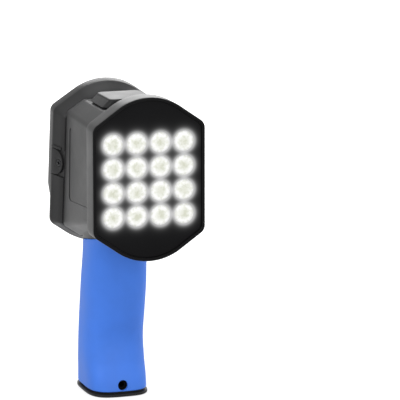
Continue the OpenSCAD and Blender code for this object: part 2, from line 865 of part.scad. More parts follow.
module key_pulse() {
    key(end_sector(1), key_grey);
}

module key_mode() {
    key(side_sector(-1), key_grey);
}

module key_times() {
    key(side_sector(1), key_grey);
}

module key_plus() {
    key(lid_sector(1), key_grey);
}

module key_minus() {
    key(lid_sector(-1), key_grey);
}

// Electronics in the body

module driver_board() {
    color(laminate) lamp_frame() translate([-driver_w / 2, -driver_drop - board_t / 2, driver_from])
        cube([driver_w, board_t, driver_l]);
}

module driver_parts() {
    color(dark) lamp_frame() translate([0, board_t / 2 - driver_drop, driver_from]) rotate([-90, 0, 0]) {
        translate(coil_spot) cylinder(r = coil_r, h = coil_h);
        for (spot = can_spots) translate(spot) cylinder(r = can_r, h = can_h);
        for (chip = chips) translate(chip[0]) cube(chip[1]);
    }
}

// Grip, foot and power

module grip() {
    color("#4a7ad8") difference() {
        union() {
            handle_run(resampled(stations), 0);
            handle_run(resampled(root_stations), 0);
        }
        handle_run(resampled(stations), grip_t);
        handle_run(resampled(root_stations), grip_t);
        above_grip(clear);
        translate([0, 0, socket_z]) rotate([90, 0, 0]) cylinder(d = socket_open, h = reach);
    }
}

// Outline of the handle's lower end, grown by d
module foot_outline(d) {
    s = stations[0];
    translate([0, s[1]]) polygon(squared(s[2] + d, s[3] + d, s[4], 2 * handle_fn));
}

module base_plate() {
    color(dark) difference() {
        union() {
            linear_extrude(foot_t) foot_outline(foot_spread);
            linear_extrude(foot_t + foot_gap) foot_outline(-grip_t);
        }
        for (s = [-1, 1]) translate([s * foot_spot_x, foot_spot_y, 0]) {
            translate([0, 0, -eps]) cylinder(r = screw_r + snug, h = 3 * foot_t);
            translate([0, 0, -eps]) cylinder(r = head_r + snug, h = head_t + snug + eps);
        }
    }
}

module base_screws() {
    color("silver") for (s = [-1, 1]) translate([s * foot_spot_x, foot_spot_y, head_t + snug])
        mirror([0, 0, 1]) screw(foot_reach);
}

module lead_socket() {
    color("#151515") translate([0, socket_face, socket_z]) rotate([-90, 0, 0]) difference() {
        cylinder(r = socket_r, h = socket_l);
        translate([0, 0, -eps]) cylinder(d = socket_bore, h = socket_depth + eps);
    }
}

module cell_frame() {
    translate([0, cell_y, cell_z]) rotate([rake, 0, 0]) children();
}

module battery_cells() {
    color("#2f6f4f") cell_frame() for (s = [-1, 1])
        translate([0, s * (cell_d + cell_space) / 2, -cell_l / 2]) cylinder(d = cell_d, h = cell_l);
}

module battery_cradle() {
    color("#202022") intersection() {
        handle_run(resampled(stations), grip_t + snug + wall + clear);
        cell_frame() {
            for (s = [-1, 1]) translate([0, 0, s * (cell_l + cradle_t) / 2])
                cube([2 * cell_d, 4 * cell_d, cradle_t], center = true);
            cube([cell_d, web_t, cell_l + cradle_t], center = true);
        }
    }
}

// Screws in the ears

module front_ear_screws() {
    color("silver") lamp_frame() on_front_ears() translate([0, ear_screw, ear_t - head_t]) screw(front_reach);
}

module rear_ear_screws() {
    color("silver") face_frame() on_rear_ears()
        translate([0, rear_ear_screw, ear_proud - head_t]) screw(rear_reach);
}

lamp_bezel();
lamp_mask();
led_lenses();
led_emitters();
led_board();
lamp_gasket();
heat_sink();
board_screws();
left_shell();
right_shell();
top_cover();
display_housing();
fascia();
lcd_panel();
lcd_frame();
display_board();
display_screws();
key_mat();
key_domes();
key_power();
key_mode();
key_plus();
key_minus();
key_times();
key_pulse();
driver_board();
driver_parts();
grip();
base_plate();
base_screws();
lead_socket();
battery_cells();
battery_cradle();
front_ear_screws();
rear_ear_screws();
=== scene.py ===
# Hand-held LED stroboscope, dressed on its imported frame.
# +Z is up, the lamp shines towards -Y and the display faces +Y.
# Sizes are in millimetres, and MM takes them to metres where a mesh is made.
import json
import math

import bmesh
import bpy
from mathutils import Matrix, Vector


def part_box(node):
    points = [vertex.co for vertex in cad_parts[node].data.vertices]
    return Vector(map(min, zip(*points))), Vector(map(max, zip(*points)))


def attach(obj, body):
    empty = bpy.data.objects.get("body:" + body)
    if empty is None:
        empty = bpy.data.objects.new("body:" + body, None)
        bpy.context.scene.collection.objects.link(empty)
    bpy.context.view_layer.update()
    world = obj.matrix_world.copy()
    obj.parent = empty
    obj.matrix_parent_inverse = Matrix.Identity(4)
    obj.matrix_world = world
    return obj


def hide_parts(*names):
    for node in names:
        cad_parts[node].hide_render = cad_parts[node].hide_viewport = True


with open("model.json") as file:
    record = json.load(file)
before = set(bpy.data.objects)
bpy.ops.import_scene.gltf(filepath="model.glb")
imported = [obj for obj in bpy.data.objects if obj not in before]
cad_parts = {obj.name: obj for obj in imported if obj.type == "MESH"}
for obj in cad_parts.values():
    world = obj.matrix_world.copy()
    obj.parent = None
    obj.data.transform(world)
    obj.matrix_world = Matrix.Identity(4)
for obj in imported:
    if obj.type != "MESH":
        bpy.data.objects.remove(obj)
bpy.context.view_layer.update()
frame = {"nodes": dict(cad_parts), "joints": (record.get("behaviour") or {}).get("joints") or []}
nodes = frame["nodes"]

MM = 0.001
HOUSING = "housing"
KEYS = ["key_power", "key_mode", "key_plus", "key_minus", "key_times", "key_pulse"]


def node_box(name):
    """Lowest and highest corner of a node, in millimetres."""
    low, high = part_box(name)
    return low / MM, high / MM


# Places taken from the frame
lamp_low, lamp_high = node_box("lamp_bezel")
foot_top = node_box("base_plate")[1].z
cover_low, cover_high = node_box("top_cover")
socket_low, socket_high = node_box("lead_socket")

lamp_w = lamp_high.x - lamp_low.x
lamp_h = lamp_high.z - lamp_low.z
lamp_y = lamp_low.y
head_z = (lamp_low.z + lamp_high.z) / 2
socket_z = (socket_low.z + socket_high.z) / 2

# The display leans back, square to the way its keys travel
key_axis = Vector(frame["joints"][0]["axis"]).normalized()
face_out = -key_axis
tilt = math.asin(face_out.z)

# Lamp head
FACET = math.radians(35)
LAMP_DEPTH = 17.5
LAMP_CROWN = 37
LAMP_CORNER = 6.5
LAMP_ROUND = 3.5
RIM_WALL = 2.2
RIM_EDGE = 0.8
MASK_RECESS = 1.6
MASK_T = 2
MASK_FIT = 0.1
MASK_EDGE = 0.12
SEAT_DEPTH = 4.6
SEAT_LEDGE = 2
COLLAR_W = 57.6
COLLAR_H = 93
COLLAR_CROWN = 30
COLLAR_CORNER = 4
COLLAR_LEN = 10.5
COLLAR_FILLET = 3
COLLAR_WALL = 2.3
COLLAR_LIP = 0.8
SEAM_FRONT = LAMP_DEPTH + COLLAR_LEN

# Lamps behind the mask
LED_COLS = 4
LED_ROWS = 4
LED_PITCH = 16
LENS_D = 13.4
LENS_CROWN = 0.8
LENS_FIT = 0.15
GLOW_REACH = 12

# Body
BODY_HALF = 31
BODY_ROUND = 5
TOP_HALF = 19.5
BOTTOM_HALF = 19
EDGE_SHARE = 0.4
FRONT = {"top": 41, "side_top": 30.5, "side_low": -31, "low": -41}
BACK = {"top": 45.5, "side_top": 37.5, "side_low": -43, "low": -51}
SHELL_WALL = 2.2
PART_GAP = 0.06
SEAM_CLEAR = 0.3
FRONT_EDGE = 1.3
PANEL_FROM = 9
PANEL_L = 41
PANEL_LOW = 24
PANEL_HIGH = 20
PANEL_LEAN = 3
PANEL_ROUND = 3
PANEL_DEPTH = 0.4

# Display end
FASCIA_Y = 13.5
DISPLAY_Z = head_z - 3
RIM_HALF = 37
RIM_TOP = 54
RIM_BOTTOM = 60
RIM_CROWN = 36
CHIN_CROWN = 45
RIM_CORNER = 6
RIM_T = 2.4
HOOD = 8
LOW_RIM = 2.2
NOTCH_HIGH = -18.5
NOTCH_LOW = -25.5
NECK = 11
FLARE = 5
FACE_INSET = 3.4
INSIDE = 7.6
SPIGOT_INSET = INSIDE + SEAM_CLEAR
SPIGOT_LEN = 2.2
END_INSET = 0.7
FRONT_SPIGOT_INSET = BODY_HALF - COLLAR_W / 2 + COLLAR_WALL + 2 * SEAM_CLEAR
FRONT_SPIGOT_LEN = 6
FRONT_WALL = 4.6
FASCIA_T = 2.5
TRAY_FIT = 0.15
TRAY_WALL = 0.8
WINDOW_CORNER = 0.6
LCD_W = 45
LCD_H = 52.5
LCD_DEPTH = 3.5
PAD_W = 47.5
PAD_H = 18.8
PAD_DROP = 40.4
KEY_PROUD = 2.2
KEY_CROWN = 90
KEY_SPLIT = 11.5
# Depth under a key's crown where its painted shade begins
SKIRT_SHADE_DEPTH = 0.2
KEY_EDGE = 0.9
FIGURE_LIFT = 0.02
WORD_LIFT = 0.05

# Ears
EAR_R = 9
EAR_T = 2.6
EAR_GAP = 1
EAR_SIDE = 0.6
EAR_TUCK = 0.2
EAR_MOAT = 1.2
EAR_FROM = 20
EAR_SINK = 0.6
EAR_BAR = 0.9
FRONT_STRAIGHT = 1.5
REAR_STRAIGHT = 2.5
EAR_SCREW = 6.2
REAR_EAR_SCREW = 7.6
EAR_PROUD = 0.5
BROW_T = 1.8
BROW_L = 9.5
BROW_FROM = 0.5
BROW_PROUD = 1
HEAD_R = 2.4
HEAD_T = 1.6
HEAD_FIT = 0.15
HEAD_SUNK = 0.1
EAR_EDGE = 0.45
BAR_EDGE = 0.25
BROW_EDGE = 0.4
CUT_PAST = 4

# Handle: height, centre in Y, half width, half depth, squareness of the section
STATIONS = [(3.4, -1.6, 20.6, 26.4, 3.4), (12, -1, 20.7, 25.2, 3.3), (22, 0.6, 20.9, 23.4, 3.0),
            (38, 1.2, 20.8, 21.7, 2.8), (55, -2, 21, 22.1, 2.7), (75, -6, 21.1, 21.8, 2.7),
            (94, -9, 20.6, 21.5, 2.7), (104, -11, 20.8, 21.8, 2.7), (110, -13, 21.6, 24.7, 2.6),
            (115, -16, 23.2, 30, 2.5), (120, -19, 24.8, 37.5, 2.4)]
GRIP_T = 2.2
CORE_GAP = 0.15
CORE_STEP = 0.4
GRIP_EDGE = [(-34, 111), (-5, 106), (14, 97)]
FOOT_SPREAD = 0.6
FOOT_T = 1.8
SOCKET_OPEN = 7
SOCKET_FIT = 3.75
SOCKET_RUN = 60

# Fineness of the meshes
CORNER_STEPS = 8
CROWN_STEPS = 32
FACET_CUTS = 6
SIDE_CUTS = [NOTCH_LOW - 4, NOTCH_LOW - 1, NOTCH_LOW, NOTCH_LOW + 1, NOTCH_HIGH - 1, NOTCH_HIGH,
             NOTCH_HIGH + 1, NOTCH_HIGH + 5, -6, 2, 10, 18, 26]
ROUND_STEPS = 6
HANDLE_STEPS = 128
PAD_STEPS = 96


# Outlines

def arc(a, b, c, radius, steps):
    """Points of the arc that rounds the corner b of the path a, b, c."""
    p = Vector(b)
    u = (Vector(a) - p).normalized()
    w = (Vector(c) - p).normalized()
    half = u.angle(w) / 2
    centre = p + (u + w).normalized() * (radius / math.sin(half))
    begin = p + u * (radius / math.tan(half)) - centre
    start = math.atan2(begin.y, begin.x)
    turn = 1 if u.x * w.y - u.y * w.x < 0 else -1
    sweep = turn * (math.pi - 2 * half)
    angles = [start + sweep * i / steps for i in range(steps + 1)]
    return [centre + radius * Vector((math.cos(t), math.sin(t))) for t in angles]


def rounded(corners, closed=True):
    """Path through corners (x, y, radius, steps); a corner of radius 0 stays sharp."""
    count = len(corners)
    path = []
    for i, (x, y, radius, steps) in enumerate(corners):
        at_end = not closed and i in (0, count - 1)
        if radius == 0 or at_end:
            path.append(Vector((x, y)))
            continue
        before = corners[i - 1][:2]
        after = corners[(i + 1) % count][:2]
        path += arc(before, (x, y), after, radius, steps)
    return path


def case_outline(half, top, bottom, crown, chin, corner, d):
    """Upright case outline drawn in by d, with the same number of points for every case."""
    lift = 1 / math.cos(FACET) - 1
    half -= d
    radius = max(corner - d, 1)
    apex = top - d + (crown - d) * lift
    foot = d - bottom - (chin - d) * lift
    drop = half * math.tan(FACET)
    corners = [(half, foot + drop, radius, CORNER_STEPS), (half, apex - drop, radius, CORNER_STEPS),
               (0, apex, crown - d, CROWN_STEPS), (-half, apex - drop, radius, CORNER_STEPS),
               (-half, foot + drop, radius, CORNER_STEPS), (0, foot, chin - d, CROWN_STEPS)]
    count = len(corners)
    arcs = [arc(corners[i - 1][:2], c[:2], corners[(i + 1) % count][:2], c[2], c[3])
            for i, c in enumerate(corners)]
    path = []
    for i, points in enumerate(arcs):
        path += points
        last = points[-1]
        following = arcs[(i + 1) % count][0]
        if abs(last.x - following.x) < 1e-6:
            cuts = SIDE_CUTS if following.y > last.y else SIDE_CUTS[::-1]
            path += [Vector((last.x, v)) for v in cuts]
        else:
            path += [last.lerp(following, k / FACET_CUTS) for k in range(1, FACET_CUTS)]
    return path


def lamp_outline(d):
    return case_outline(lamp_w / 2, lamp_h / 2, lamp_h / 2, LAMP_CROWN, LAMP_CROWN, LAMP_CORNER, d)


def collar_outline(d):
    half_h = COLLAR_H / 2
    return case_outline(COLLAR_W / 2, half_h, half_h, COLLAR_CROWN, COLLAR_CROWN, COLLAR_CORNER, d)


def rim_outline(d):
    return case_outline(RIM_HALF, RIM_TOP, RIM_BOTTOM, RIM_CROWN, CHIN_CROWN, RIM_CORNER, d)


def around(steps):
    """Angles of equal steps round a full turn."""
    return [2 * math.pi * i / steps for i in range(steps)]


def circle(radius, steps, centre=(0, 0)):
    x, y = centre
    return [Vector((x + radius * math.cos(t), y + radius * math.sin(t))) for t in around(steps)]


def ellipse(half_w, half_h, steps, centre=(0, 0)):
    return [Vector((centre[0] + p.x * half_w, centre[1] + p.y * half_h)) for p in circle(1, steps)]


def rounded_box(half_w, half_h, radius, steps=4, centre=(0, 0)):
    corners = [(half_w, -half_h), (half_w, half_h), (-half_w, half_h), (-half_w, -half_h)]
    return rounded([(centre[0] + x, centre[1] + y, radius, steps) for x, y in corners])


# Frames

def on_lamp(p, depth):
    """Lamp frame: x to the left seen from the front, y up, depth behind the rim."""
    return Vector((-p[0], lamp_y + depth, head_z + p[1]))


def on_face(p, out):
    """Face frame: x to the reader's right, y up the fascia, out of the fascia."""
    y = FASCIA_Y - p[1] * math.sin(tilt) + out * math.cos(tilt)
    z = DISPLAY_Z + p[1] * math.cos(tilt) + out * math.sin(tilt)
    return Vector((-p[0], y, z))


def frame_matrix(place):
    """Matrix that takes flat points and heights, in millimetres, to metres in a frame."""
    origin = place((0, 0), 0)
    columns = [place((1, 0), 0) - origin, place((0, 1), 0) - origin, place((0, 0), 1) - origin]
    turned = Matrix(columns).transposed().to_4x4()
    return Matrix.Translation(origin * MM) @ turned @ Matrix.Scale(MM, 4)


# Meshes

def new_object(name, mesh):
    obj = bpy.data.objects.new(name, mesh)
    bpy.context.scene.collection.objects.link(obj)
    return obj


def shade(mesh, angle=35):
    mesh.shade_smooth()
    mesh.set_sharp_from_angle(angle=math.radians(angle))


def from_bmesh(name, bm, angle=35):
    bmesh.ops.recalc_face_normals(bm, faces=bm.faces)
    mesh = bpy.data.meshes.new(name)
    bm.to_mesh(mesh)
    bm.free()
    shade(mesh, angle)
    return new_object(name, mesh)


def add_rings(bm, rings, closed=False, caps=True):
    """Bridges rings of points, given in millimetres, and returns their vertices."""
    made = [[bm.verts.new(p * MM) for p in ring] for ring in rings]
    pairs = list(zip(made, made[1:]))
    if closed:
        pairs.append((made[-1], made[0]))
    for low, high in pairs:
        for i in range(len(low)):
            k = (i + 1) % len(low)
            bm.faces.new((low[i], low[k], high[k], high[i]))
    if caps and not closed:
        bm.faces.new(made[0][::-1])
        bm.faces.new(made[-1])
    return made


def ring_piece(name, rings, closed=False, caps=True, angle=35):
    bm = bmesh.new()
    add_rings(bm, rings, closed, caps)
    return from_bmesh(name, bm, angle)


def loop_edges(bm, verts):
    """Edges round a loop of vertices, made where there is none yet."""
    pairs = [(verts[i - 1], verts[i]) for i in range(len(verts))]
    return [bm.edges.get(pair) or bm.edges.new(pair) for pair in pairs]


def fill(bm, edges):
    return bmesh.ops.triangle_fill(bm, use_beauty=True, use_dissolve=False, edges=edges)


def add_plate(bm, outer, holes, low, high):
    """Flat plate with holes between two heights, in the units of its outline."""
    edges = []
    for loop in [outer, *holes]:
        verts = [bm.verts.new((p[0], p[1], low)) for p in loop]
        edges += loop_edges(bm, verts)
    filled = fill(bm, edges)
    faces = [f for f in filled["geom"] if isinstance(f, bmesh.types.BMFace)]
    raised = bmesh.ops.extrude_face_region(bm, geom=faces)
    moved = [v for v in raised["geom"] if isinstance(v, bmesh.types.BMVert)]
    bmesh.ops.translate(bm, verts=moved, vec=(0, 0, high - low))


def plate_piece(name, outer, holes, low, high, place, edge=0.0, segments=2):
    """Plate in a frame, with its edges rounded."""
    bm = bmesh.new()
    add_plate(bm, outer, holes, low, high)
    bmesh.ops.recalc_face_normals(bm, faces=bm.faces)
    bmesh.ops.dissolve_limit(bm, angle_limit=math.radians(1), verts=bm.verts, edges=bm.edges)
    obj = from_bmesh(name, bm)
    obj.data.transform(frame_matrix(place))
    if edge:
        soften(obj, edge, segments)
    return obj


def settle(obj):
    """Turns the object with its modifiers into a plain mesh."""
    bpy.context.view_layer.update()
    graph = bpy.context.evaluated_depsgraph_get()
    mesh = bpy.data.meshes.new_from_object(obj.evaluated_get(graph))
    old = obj.data
    obj.modifiers.clear()
    obj.data = mesh
    bpy.data.meshes.remove(old)
    return obj


def soften(obj, width, segments=2, angle=40, shading=35):
    """Rounds the sharp edges of an object, width in millimetres."""
    bevel = obj.modifiers.new("edge", "BEVEL")
    bevel.width = width * MM
    bevel.segments = segments
    bevel.limit_method = "ANGLE"
    bevel.angle_limit = math.radians(angle)
    bevel.miter_outer = "MITER_ARC"
    bevel.use_clamp_overlap = True
    bevel.harden_normals = False
    settle(obj)
    shade(obj.data, shading)
    return obj


def remove(obj):
    """Removes an object with its mesh."""
    mesh = obj.data
    bpy.data.objects.remove(obj)
    bpy.data.meshes.remove(mesh)


def cut(obj, *cutters):
    """Takes the cutters out of the object and removes them."""
    for cutter in cutters:
        boolean = obj.modifiers.new("cut", "BOOLEAN")
        boolean.operation = "DIFFERENCE"
        boolean.solver = "EXACT"
        boolean.object = cutter
    settle(obj)
    for cutter in cutters:
        remove(cutter)
    shade(obj.data)
    return obj


def join(obj, *others):
    """Merges the meshes of others into obj."""
    bm = bmesh.new()
    bm.from_mesh(obj.data)
    for other in others:
        bm.from_mesh(other.data)
        remove(other)
    bm.to_mesh(obj.data)
    bm.free()
    return obj


def prism(name, outline, heights, place):
    """Outline drawn out between two heights of a frame."""
    return ring_piece(name, [[place(p, height) for p in outline] for height in heights])


def upright(p, z):
    return Vector((p.x, p.y, z))


def rod(name, start, end, radius, steps=48):
    """Straight round rod between two points, in millimetres."""
    start = Vector(start)
    end = Vector(end)
    turn = (end - start).to_track_quat("Z", "Y")
    rings = [[at + turn @ Vector((p.x, p.y, 0)) for p in circle(radius, steps)] for at in (start, end)]
    return ring_piece(name, rings)


def softened_copy(node, name, width, segments=2, angle=30):
    """Copy of a node's mesh with merged faces and rounded edges."""
    bm = bmesh.new()
    bm.from_mesh(nodes[node].data)
    bmesh.ops.remove_doubles(bm, verts=bm.verts, dist=0.002 * MM)
    bmesh.ops.dissolve_limit(bm, angle_limit=math.radians(0.5), verts=bm.verts, edges=bm.edges)
    obj = from_bmesh(name, bm, angle)
    return soften(obj, width, segments, angle)


def dress(obj, material, body=HOUSING, stands_for=()):
    """Gives a piece its material and the body that carries it."""
    obj.data.materials.clear()
    obj.data.materials.append(material)
    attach(obj, body)
    if stands_for:
        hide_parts(*stands_for)
    return obj


# Shader groups

class Nodes:
    """Small helper that adds and links nodes in a tree."""

    def __init__(self, tree):
        self.tree = tree

    def add(self, kind, **settings):
        node = self.tree.nodes.new(kind)
        for name, value in settings.items():
            setattr(node, name, value)
        return node

    def link(self, source, target):
        self.tree.links.new(source, target)

    def math(self, operation, first, second=None, third=None):
        node = self.add("ShaderNodeMath", operation=operation)
        for i, value in enumerate((first, second, third)):
            if value is None:
                continue
            if isinstance(value, (int, float)):
                node.inputs[i].default_value = value
            else:
                self.link(value, node.inputs[i])
        return node.outputs[0]

    def ramp(self, factor, stops):
        node = self.add("ShaderNodeValToRGB")
        elements = node.color_ramp.elements
        while len(elements) < len(stops):
            elements.new(0.5)
        for element, (position, colour) in zip(elements, stops):
            element.position = position
            element.color = (*colour, 1)
        self.link(factor, node.inputs["Fac"])
        return node.outputs["Color"]

    def spread(self, value, low, high, to_low, to_high):
        node = self.add("ShaderNodeMapRange")
        for name, number in (("From Min", low), ("From Max", high), ("To Min", to_low), ("To Max", to_high)):
            node.inputs[name].default_value = number
        self.link(value, node.inputs["Value"])
        return node.outputs["Result"]


def shader_group(name, inputs, outputs):
    tree = bpy.data.node_groups.new(name, "ShaderNodeTree")
    for label, kind, value in inputs:
        socket = tree.interface.new_socket(label, in_out="INPUT", socket_type=kind)
        if value is not None:
            socket.default_value = value
    for label, kind in outputs:
        tree.interface.new_socket(label, in_out="OUTPUT", socket_type=kind)
    n = Nodes(tree)
    return tree, n, n.add("NodeGroupInput").outputs, n.add("NodeGroupOutput").inputs


def moulded_grain():
    """Spark-eroded mould grain: fine pits as a height, and slow clouds for tone and gloss."""
    tree, n, given, out = shader_group(
        "moulded grain",
        [("Vector", "NodeSocketVector", None), ("Grain size", "NodeSocketFloat", 0.6),
         ("Cloud size", "NodeSocketFloat", 25.0)],
        [("Height", "NodeSocketFloat"), ("Cloud", "NodeSocketFloat")])
    fine = n.add("ShaderNodeTexNoise")
    fine.inputs["Detail"].default_value = 3
    fine.inputs["Roughness"].default_value = 0.65
    pits = n.add("ShaderNodeTexVoronoi")
    cloud = n.add("ShaderNodeTexNoise")
    cloud.inputs["Detail"].default_value = 4
    grain_scale = n.math("DIVIDE", 1 / MM, given["Grain size"])
    n.link(grain_scale, fine.inputs["Scale"])
    n.link(n.math("MULTIPLY", grain_scale, 0.6), pits.inputs["Scale"])
    n.link(n.math("DIVIDE", 1 / MM, given["Cloud size"]), cloud.inputs["Scale"])
    for texture in (fine, pits, cloud):
        n.link(given["Vector"], texture.inputs["Vector"])
    n.link(n.math("MULTIPLY_ADD", pits.outputs["Distance"], 0.6, fine.outputs["Fac"]), out["Height"])
    n.link(cloud.outputs["Fac"], out["Cloud"])
    return tree


def lamp_cells(n, given):
    """Place over the grid of lamps, across and up, counted in pitches, with each axis's lamp count."""
    split = n.add("ShaderNodeSeparateXYZ")
    n.link(given["Vector"], split.inputs[0])
    across = n.math("MULTIPLY", split.outputs["X"], 1 / MM)
    up = n.math("SUBTRACT", n.math("MULTIPLY", split.outputs["Z"], 1 / MM), given["Centre height"])
    return [(n.math("DIVIDE", value, given["Pitch"]), count)
            for value, count in ((across, LED_COLS), (up, LED_ROWS))]


def square_offset(n, given, cell, lamp):
    """Square of the distance, in square millimetres, between a place and a lamp on one axis."""
    off = n.math("MULTIPLY", n.math("SUBTRACT", cell, lamp), given["Pitch"])
    return n.math("MULTIPLY", off, off)


LAMP_GRID_INPUTS = [("Vector", "NodeSocketVector", None), ("Pitch", "NodeSocketFloat", LED_PITCH),
                    ("Centre height", "NodeSocketFloat", head_z)]


def led_distance():
    """Distance from the nearest lamp's centre, in millimetres, over the grid of lamps."""
    tree, n, given, out = shader_group("distance to the nearest lamp", LAMP_GRID_INPUTS,
                                       [("Distance", "NodeSocketFloat")])
    squares = []
    for cell, count in lamp_cells(n, given):
        last = (count - 1) / 2
        lamp = n.math("ADD", n.math("FLOOR", cell), 0.5)
        nearest = n.math("MAXIMUM", n.math("MINIMUM", lamp, last), -last)
        squares.append(square_offset(n, given, cell, nearest))
    n.link(n.math("SQRT", n.math("ADD", squares[0], squares[1])), out["Distance"])
    return tree


def led_spill():
    """Light that the four lamps round a place throw on the mask, each fading from its lens's edge."""
    tree, n, given, out = shader_group(
        "spill from the lamps",
        LAMP_GRID_INPUTS + [("Level", "NodeSocketFloat", 0.5), ("Edge", "NodeSocketFloat", LENS_D / 2 - 0.7),
                            ("Reach", "NodeSocketFloat", 2.15)],
        [("Spill", "NodeSocketColor")])
    axes = []
    for cell, count in lamp_cells(n, given):
        last = (count - 1) / 2
        lower = n.math("ADD", n.math("FLOOR", n.math("SUBTRACT", cell, 0.5)), 0.5)
        lower = n.math("MAXIMUM", n.math("MINIMUM", lower, last - 1), -last)
        axes.append([square_offset(n, given, cell, lamp) for lamp in (lower, n.math("ADD", lower, 1.0))])
    total = None
    for across in axes[0]:
        for up in axes[1]:
            away = n.math("SQRT", n.math("ADD", across, up))
            beyond = n.math("MAXIMUM", n.math("SUBTRACT", away, given["Edge"]), 0.0)
            fade = n.math("POWER", n.math("DIVIDE", beyond, given["Reach"]), 4.0)
            share = n.math("DIVIDE", given["Level"], n.math("ADD", fade, 1.0))
            total = share if total is None else n.math("ADD", total, share)
    n.link(total, out["Spill"])
    return tree


GRAIN = moulded_grain()
LED_DISTANCE = led_distance()
LED_SPILL = led_spill()


def new_material(name):
    material = bpy.data.materials.new(name)
    material.use_nodes = True
    n = Nodes(material.node_tree)
    shader = shader_of(material)
    place = n.add("ShaderNodeTexCoord").outputs["Object"]
    return material, n, shader, place


def placed_group(n, tree, place, **values):
    node = n.add("ShaderNodeGroup", node_tree=tree)
    n.link(place, node.inputs["Vector"])
    for label, value in values.items():
        node.inputs[label.replace("_", " ")].default_value = value
    return node.outputs


def shader_of(material):
    return material.node_tree.nodes["Principled BSDF"]


def bump(n, shader, height, distance, strength=1.0):
    node = n.add("ShaderNodeBump")
    node.inputs["Distance"].default_value = distance * MM
    node.inputs["Strength"].default_value = strength
    n.link(height, node.inputs["Height"])
    n.link(node.outputs["Normal"], shader.inputs["Normal"])


def scaled(colour, factor):
    return tuple(min(c * factor, 1) for c in colour)


def moulded(name, colour, rough, grain=0.6, depth=0.02, contrast=0.12, metallic=0.0, specular=0.5):
    """Grained material whose tone and gloss drift slowly over the surface."""
    material, n, shader, place = new_material(name)
    found = placed_group(n, GRAIN, place, Grain_size=grain)
    tones = [(0.35, scaled(colour, 1 - contrast)), (0.65, scaled(colour, 1 + contrast))]
    tone = n.ramp(found["Cloud"], tones)
    n.link(tone, shader.inputs["Base Color"])
    n.link(n.spread(found["Cloud"], 0.3, 0.7, rough - 0.05, rough + 0.05), shader.inputs["Roughness"])
    shader.inputs["Metallic"].default_value = metallic
    shader.inputs["Specular IOR Level"].default_value = specular
    bump(n, shader, found["Height"], depth)
    return material


def soft_touch(name, colour):
    """Soft-touch rubber: dull, with a fine bloom at grazing angles."""
    material = moulded(name, colour, 0.55, grain=0.5, depth=0.012, contrast=0.05, specular=0.25)
    shader = shader_of(material)
    shader.inputs["Sheen Weight"].default_value = 0.08
    shader.inputs["Sheen Roughness"].default_value = 0.4
    shader.inputs["Sheen Tint"].default_value = (*scaled(colour, 2.5), 1)
    return material


def lamp_glow(n, place, stops):
    """Colour by distance from the nearest lamp's centre; stops are distances in millimetres."""
    found = placed_group(n, LED_DISTANCE, place)
    return n.ramp(n.math("DIVIDE", found["Distance"], GLOW_REACH),
                  [(distance / GLOW_REACH, colour) for distance, colour in stops])


def lit_lens():
    """Clear lens with its lamp lit: a pale mottled core, a bright body and a softer edge."""
    material, n, shader, place = new_material("lit lens")
    stops = [(0.0, (0.65, 0.66, 0.56)), (2.2, (0.71, 0.72, 0.64)), (3.4, (0.79, 0.80, 0.75)),
             (4.2, (0.87, 0.87, 0.84)), (4.9, (0.90, 0.90, 0.89)), (5.6, (0.82, 0.82, 0.82)),
             (LENS_D / 2, (0.58, 0.58, 0.58))]
    glow = lamp_glow(n, place, stops)
    spots = placed_group(n, GRAIN, place, Grain_size=1.4, Cloud_size=2.2)
    mottle = n.ramp(spots["Cloud"], [(0.38, (0.83, 0.84, 0.77)), (0.56, (1.0, 1.0, 1.0))])
    blend = n.add("ShaderNodeMix", data_type="RGBA", blend_type="MULTIPLY")
    blend.inputs["Factor"].default_value = 1.0
    n.link(glow, blend.inputs["A"])
    n.link(mottle, blend.inputs["B"])
    n.link(blend.outputs["Result"], shader.inputs["Emission Color"])
    shader.inputs["Emission Strength"].default_value = 1.0
    shader.inputs["Base Color"].default_value = (0.1, 0.1, 0.1, 1)
    shader.inputs["Roughness"].default_value = 0.15
    shader.inputs["Specular IOR Level"].default_value = 0.2
    return material


def lit_mask(colour):
    """Black mask that the lamps' spill lights around each window."""
    material = moulded("lamp mask", colour, 0.42, grain=0.5, depth=0.008, specular=0.05)
    n = Nodes(material.node_tree)
    shader = shader_of(material)
    place = n.add("ShaderNodeTexCoord").outputs["Object"]
    spill = placed_group(n, LED_SPILL, place)["Spill"]
    n.link(spill, shader.inputs["Emission Color"])
    shader.inputs["Emission Strength"].default_value = 1.0
    return material


def display_glass(colour):
    """Grey reflective display under its anti-glare film."""
    material, n, shader, place = new_material("display glass")
    found = placed_group(n, GRAIN, place, Grain_size=0.25, Cloud_size=40.0)
    tone = n.ramp(found["Cloud"], [(0.3, scaled(colour, 0.93)), (0.7, scaled(colour, 1.07))])
    n.link(tone, shader.inputs["Base Color"])
    shader.inputs["Roughness"].default_value = 0.38
    shader.inputs["Coat Weight"].default_value = 0.15
    bump(n, shader, found["Height"], 0.004)
    return material


def printed(name, colour, glow=0.0):
    """Ink or a lit display segment."""
    material, n, shader, place = new_material(name)
    found = placed_group(n, GRAIN, place, Grain_size=0.3)
    tone = n.ramp(found["Cloud"], [(0.3, scaled(colour, 0.95)), (0.7, scaled(colour, 1.05))])
    n.link(tone, shader.inputs["Base Color"])
    shader.inputs["Roughness"].default_value = 0.5
    if glow:
        n.link(tone, shader.inputs["Emission Color"])
        shader.inputs["Emission Strength"].default_value = glow
    return material


